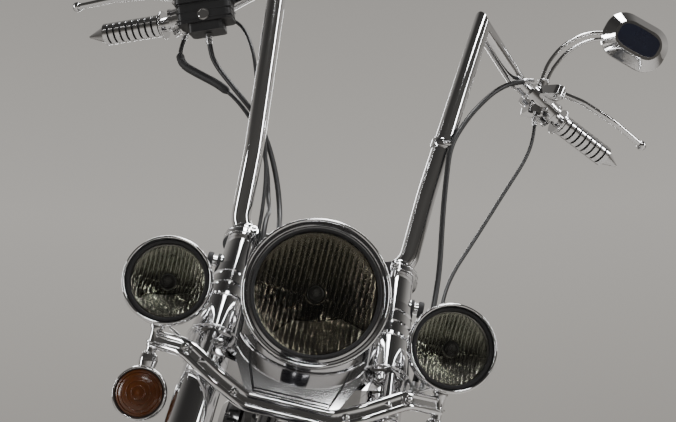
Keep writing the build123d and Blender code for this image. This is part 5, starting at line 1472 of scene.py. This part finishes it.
@dataclass
class Saddle(Dress):
    """The sewn leather saddle, with a coil spring under each side of its tail."""

    stations: tuple[tuple[float, float, float, float], ...] = (
        (1010, 716, 150, 60), (1120, 690, 300, 76), (1250, 680, 340, 84), (1340, 700, 270, 90),
        (1480, 716, 220, 66))
    crown: float = 6.0
    waist: float = 0.05
    channel_depth: float = 3.2
    channel_pitch: float = 38.0
    channelled: tuple[float, float] = (1120.0, 1420.0)
    welt_angle: float = math.radians(38)
    spring_foot: tuple[float, float, float] = (72.0, 1392.0, 584.0)
    spring_height: float = 84.0
    spring_turns: int = 5
    coil_radius: float = 17.0
    coil_wire: float = 3.0
    coil_steps: int = 22
    skin_cuts: tuple[int, int] = (120, 64)

    def _section(self, back: float) -> tuple[float, float, float]:
        """Find the saddle's section at a place along it.

        Args:
            back: the place.

        Returns:
            The height of its middle, its width and its own height.
        """
        for near, far in zip(self.stations, self.stations[1:]):
            if back <= far[0]:
                share = (back - near[0]) / (far[0] - near[0])
                ease = share * share * (3 - 2 * share)
                return tuple(a + (b - a) * ease for a, b in zip(near[1:], far[1:]))
        return self.stations[-1][1:]

    def skin(self, back: float, angle: float) -> Vector:
        """Find a point of the leather.

        Args:
            back: the place along the saddle.
            angle: the angle round its section.

        Returns:
            The point in the layout.
        """
        first, last = self.stations[0][0], self.stations[-1][0]
        middle, width, height = self._section(back)
        along = (back - first) / (last - first) * 2 - 1
        end = max(0.0, 1 - abs(along) ** 14) ** 0.5
        across = swell(math.cos(angle), 0.55)
        up = swell(math.sin(angle), 0.62)
        pull = 1 - self.waist * math.exp(-((up - 0.1) / 0.3) ** 2)
        lift = self.crown * (1 - across ** 2) if up > 0 else 0.0
        if up > 0 and self.channelled[0] < back < self.channelled[1] and abs(across) < 0.62:
            half = self.channel_pitch / 2
            gap = (back - self.channelled[0] + half) % self.channel_pitch - half
            lift -= self.channel_depth * math.exp(-(gap / 4.5) ** 2) * (1 - (across / 0.62) ** 6)
        return at(across * width / 2 * pull * (0.55 + 0.45 * end), back,
                  middle + (up * height / 2 + lift) * (0.35 + 0.65 * end))

    def build(self) -> None:
        """Sew the saddle and set it on its springs."""
        mould = Mould()
        first, last = self.stations[0][0], self.stations[-1][0]
        count, sides = self.skin_cuts
        loops = []
        for index in range(count + 1):
            back = first + (last - first) * index / count
            made = bmesh.ops.create_circle(mould.mesh, cap_ends=index in (0, count), segments=sides,
                                           radius=1.0, matrix=Matrix.Identity(4))
            loops.append({edge for vert in made["verts"] for edge in vert.link_edges})
            for vert in made["verts"]:
                vert.co = self.skin(back, math.atan2(vert.co.y, vert.co.x))
        for near, far in zip(loops, loops[1:]):
            bmesh.ops.bridge_loops(mould.mesh, edges=list(near | far))
        saddle = self.shop.deliver("saddle", mould, Body.CHASSIS, (Finish.LEATHER,),
                                   replaces=("seat",), sharp=60)
        self._welts()
        self._springs()

    def _welts(self) -> None:
        """Sew a piped welt round the saddle's edge with a line of thread inside it."""
        piping, thread = Mould(), Mould()
        places = [1016 + index * 11.4 for index in range(41)]
        for side in SIDES:
            turn = self.welt_angle if side > 0 else math.pi - self.welt_angle
            piping.hose([self.skin(back, turn) for back in places], [2.6] * len(places), 8)
            inner = turn + side * 0.16
            for near, far in zip(places[1:-2], places[2:-1]):
                start, end = self.skin(near, inner), self.skin(far, inner)
                for part in (0.1, 0.6):
                    thread.rod(start.lerp(end, part), start.lerp(end, part + 0.3), 0.9, 6)
        self.shop.deliver("saddle_piping", piping, Body.CHASSIS, (Finish.LEATHER,))
        self.shop.deliver("saddle_thread", thread, Body.CHASSIS, (Finish.RUBBER,))

    def _springs(self) -> None:
        """Wind a coil spring between each fender strut and the saddle's tail."""
        mould = Mould()
        count = self.coil_steps * self.spring_turns
        for side in SIDES:
            foot = flip(at(*self.spring_foot), side)
            points = []
            for index in range(count + 1):
                angle = math.tau * index / self.coil_steps
                reach = self.coil_radius
                points.append(foot + at(reach * math.cos(angle), reach * math.sin(angle),
                                        self.spring_height * index / count))
            mould.hose(points, [self.coil_wire] * len(points), 8)
            mould.rod(foot - at(0, 0, 10), foot + at(0, 0, 2), 21, 32)
            top = foot + at(0, 0, self.spring_height)
            mould.rod(top - at(0, 0, 2), top + at(0, 0, 12), 21, 32)
        self.shop.deliver("saddle_springs", mould, Body.CHASSIS, (Finish.CHROME,))


@dataclass
class BodyDress(Dress):
    """The tank's fittings, the clock's dial, the rear lenses, the footboards' ribs and the stand's bead."""

    dial: tuple[float, float, float] = (0.0, 649.8, 926.0)
    dial_start: float = math.radians(-130)
    dial_sweep: float = math.radians(260)
    dial_marks: int = 33
    cap_notches: int = 18
    board_ribs: int = 7

    def build(self) -> None:
        """Make the bodywork's trims."""
        self._dash()
        self._tank()
        self._lenses()
        self._boards()
        self._stand()

    def _dash(self) -> None:
        """Lay the dial, its marks and its needle under a bezel."""
        mould = Mould()
        centre = at(*self.dial)
        mould.turn(centre, UP, [(-1, 50), (1, 52), (5, 51), (6, 46), (2, 44.5)], 72)
        mould.turn(centre, UP, [(1.2, 45), (1.2, 0)], 64, material=1)
        for index in range(self.dial_marks):
            angle = self.dial_start + index * self.dial_sweep / (self.dial_marks - 1)
            long = index % 4 == 0
            place = Matrix.Translation(centre) @ Matrix.Rotation(angle, 4, "Z") @ (
                Matrix.Translation(at(0, -39 if long else -40.5, 1.5)))
            mould.block(place, (1.1 if long else 0.6, 7 if long else 4, 0.5), 0.1, 2)
        needle = Matrix.Translation(centre) @ Matrix.Rotation(self.dial_start, 4, "Z") @ (
            Matrix.Translation(at(0, -15, 2.4)))
        mould.block(needle, (1.4, 40, 0.8), 0.2, 3)
        mould.turn(centre, UP, [(1.5, 5), (4.5, 4.4), (5, 0)], 24, material=1)
        self.shop.deliver("dial", mould, Body.CHASSIS,
                          (Finish.CHROME, Finish.PLASTIC, Finish.PALE, Finish.RED))

    def _tank(self) -> None:
        """Fit the filler caps and the tank's chrome strips."""
        mould = Mould()
        for side in SIDES:
            mould.turn(at(side * 74, 700, 889), Vector((side * 0.08, 0, 1)), [
                (-4, 30), (2, 32), (8, 31), (11, 26), (12, 0)], 48)
            for angle in around(self.cap_notches):
                notch = at(side * 74.5 + 31 * math.cos(angle), 700 + 31 * math.sin(angle), 894)
                mould.block(Matrix.Translation(notch), (3, 3, 7), 0.8)
        mould.turn(at(0, 850, 889), UP, [(-3, 15), (3, 15), (6, 10), (6, 0)], 32)
        self.shop.deliver("tank_fittings", mould, Body.CHASSIS, (Finish.CHROME,))

    def _lenses(self) -> None:
        """Set the rear signals' lenses and the tail lamp's bezel."""
        mould = Mould()
        turn = math.radians(36)
        middle = at(0, 1635 + 358.3 * math.cos(turn), 320 + 358.3 * math.sin(turn))
        for side in SIDES:
            centre = middle + at(side * 150, -30, 0)
            mould.turn(centre, BACK, [(53, 31.5), (57, 30), (62, 20), (64, 0)], 48)
            mould.ring(centre + at(0, 54, 0), BACK, 32.5, 1.6, 56, material=1)
        tail = math.radians(20)
        line = Vector((0, math.cos(tail), math.sin(tail)))
        lamp = at(0, 1635, 320) + line * 350.3 * MM
        mould.ring(lamp + line * 33 * MM, line, 39.6, 2.0, 64, material=1)
        self.shop.deliver("rear_lenses", mould, Body.CHASSIS, (Finish.RED, Finish.CHROME))

    def _boards(self) -> None:
        """Lay the rubber ribs of the footboards, and the pedals beside them."""
        ribs, metal = Mould(), Mould()
        for side in SIDES:
            for index in range(self.board_ribs):
                place = Matrix.Translation(at(side * (214 + index * 12), 640, 277.4))
                ribs.block(place, (5, 215 - abs(index - 3) * 12, 3.4), 1.2)
            metal.hose([at(side * x, y, z) for x, y, z in (
                (240, 548, 264), (241, 520, 270), (241, 498, 288), (240, 480, 306))], [7, 7, 6.5, 6], 16)
            metal.block(Matrix.Translation(at(side * 240, 474, 310)), (56, 34, 9), 3)
        self.shop.deliver("board_ribs", ribs, Body.CHASSIS, (Finish.RUBBER,))
        self.shop.deliver("foot_pedals", metal, Body.CHASSIS, (Finish.CHROME,))

    def _stand(self) -> None:
        """Ring the stand's foot with a welded bead."""
        mould = Mould()
        mould.ring(at(138, 720, 190), Vector((0.5, -0.2, 0.8)), 17.0, 1.0, 32)
        self.shop.deliver("stand_bead", mould, Body.STAND, (Finish.CHROME,))


@dataclass
class CadDress:
    """The CAD nodes that keep their own shape, with the finish of each."""

    groups: dict[Finish, tuple[str, ...]] = field(default_factory=lambda: {
        Finish.CHROME: ("fork_clamps", "fork_covers", "front_axle", "headlight_shell", "passing_lamps",
            "passing_rings", "signal_shells", "lamp_bar", "handlebar", "grips", "control_housings",
            "clutch_lever", "brake_lever", "mirrors", "front_wheel", "rear_wheel", "rear_axle",
            "pushrod_tubes", "air_cleaner", "primary_cover", "exhaust_front", "exhaust_rear", "dash",
            "fender_struts", "rear_signals", "side_stand"),
        Finish.ALLOY: ("fork_legs", "front_caliper", "rear_pulley", "rear_caliper"),
        # The headlight ring takes the darker chrome copy, which is painted shade.
        Finish.SHADED_CHROME: ("headlight_ring",),
        Finish.BOWL: ("headlight_reflector",),
        Finish.GLASS: ("headlight_lens", "passing_lenses"),
        Finish.AMBER: ("signal_lenses",),
        Finish.PLASTIC: ("brake_reservoir", "floorboards"),
        Finish.CABLE: ("clutch_cable", "switch_wires", "brake_hose", "throttle_cable"),
        Finish.PAINT: ("front_fender", "frame", "swingarm", "oil_tank", "fuel_tank", "rear_fender"),
        Finish.TYRE: ("front_tyre", "rear_tyre", "drive_belt"),
        Finish.STEEL: ("front_disc", "rear_disc"),
        Finish.ENGINE: ("cylinder_front", "cylinder_rear", "head_front", "head_rear", "crankcase",
            "gearbox"),
        Finish.LEATHER: ("seat",),
        Finish.RED: ("tail_lamp",)})
    edge_angle: float = math.radians(32)

    def build(self, nodes: dict[str, bpy.types.Object], paint: Paintbox) -> None:
        """Dress every node and round its shading.

        Args:
            nodes: the CAD nodes by name.
            paint: the box that the finishes come from.
        """
        for finish, names in self.groups.items():
            for name in names:
                paint.dress(nodes[name], finish)
                self.smooth(nodes[name])

    def smooth(self, node: bpy.types.Object) -> None:
        """Shade a node smoothly, with its real edges kept sharp.

        Args:
            node: the node.
        """
        node.data.polygons.foreach_set("use_smooth", [True] * len(node.data.polygons))
        weld = node.modifiers.new("weld", "WELD")
        weld.merge_threshold = 0.00001
        edges = node.modifiers.new("edges", "EDGE_SPLIT")
        edges.split_angle = self.edge_angle


def find_joint(joints: list[dict], name: str) -> dict:
    """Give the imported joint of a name."""
    return next(joint for joint in joints if joint["name"] == name)


def find_stances(joints: list[dict]) -> dict[Body, Stance]:
    """Work out how the chassis and the steering stand from their joints.

    Args:
        joints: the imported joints.

    Returns:
        A stance for the chassis and one for the steering.
    """
    steer = Vector(find_joint(joints, "steering")["axis"]).normalized()
    rear = find_joint(joints, "rear_wheel_spin")
    front = find_joint(joints, "front_wheel_spin")
    return {
        Body.CHASSIS: Stance.from_lines(
            Vector(rear["axis"]), steer, Vector((0, WHEELBASE, AXLE_HEIGHT)), Vector(rear["pos_m"])),
        Body.STEERING: Stance.from_lines(
            Vector(front["axis"]), steer, Vector((0, 0, AXLE_HEIGHT)), Vector(front["pos_m"]))}


def main() -> None:
    """Dress the machine."""
    logging.basicConfig(level=logging.INFO, format="%(message)s")
    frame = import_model()
    paint = Paintbox()
    stances = find_stances(frame["joints"])
    Studio().build()
    CadDress().build(frame["nodes"], paint)
    shop = Workshop(paint, stances)
    dresses = (
        Cables(shop), LampDress(shop), FrontDress(shop),
        WheelDress(shop, "front", Body.FRONT_WHEEL, (0, 0, 320), 130.0, 90.0, 1, 70.0),
        WheelDress(shop, "rear", Body.REAR_WHEEL, (0, 1635, 320), 150.0, 106.0, -1, 80.0),
        EngineDress(shop), Saddle(shop), BodyDress(shop))
    for dress in dresses:
        dress.build()
    LOG.info("dressed %d nodes; stances %s", len(frame["nodes"]), [body.value for body in stances])


if __name__ == "__main__":
    main()
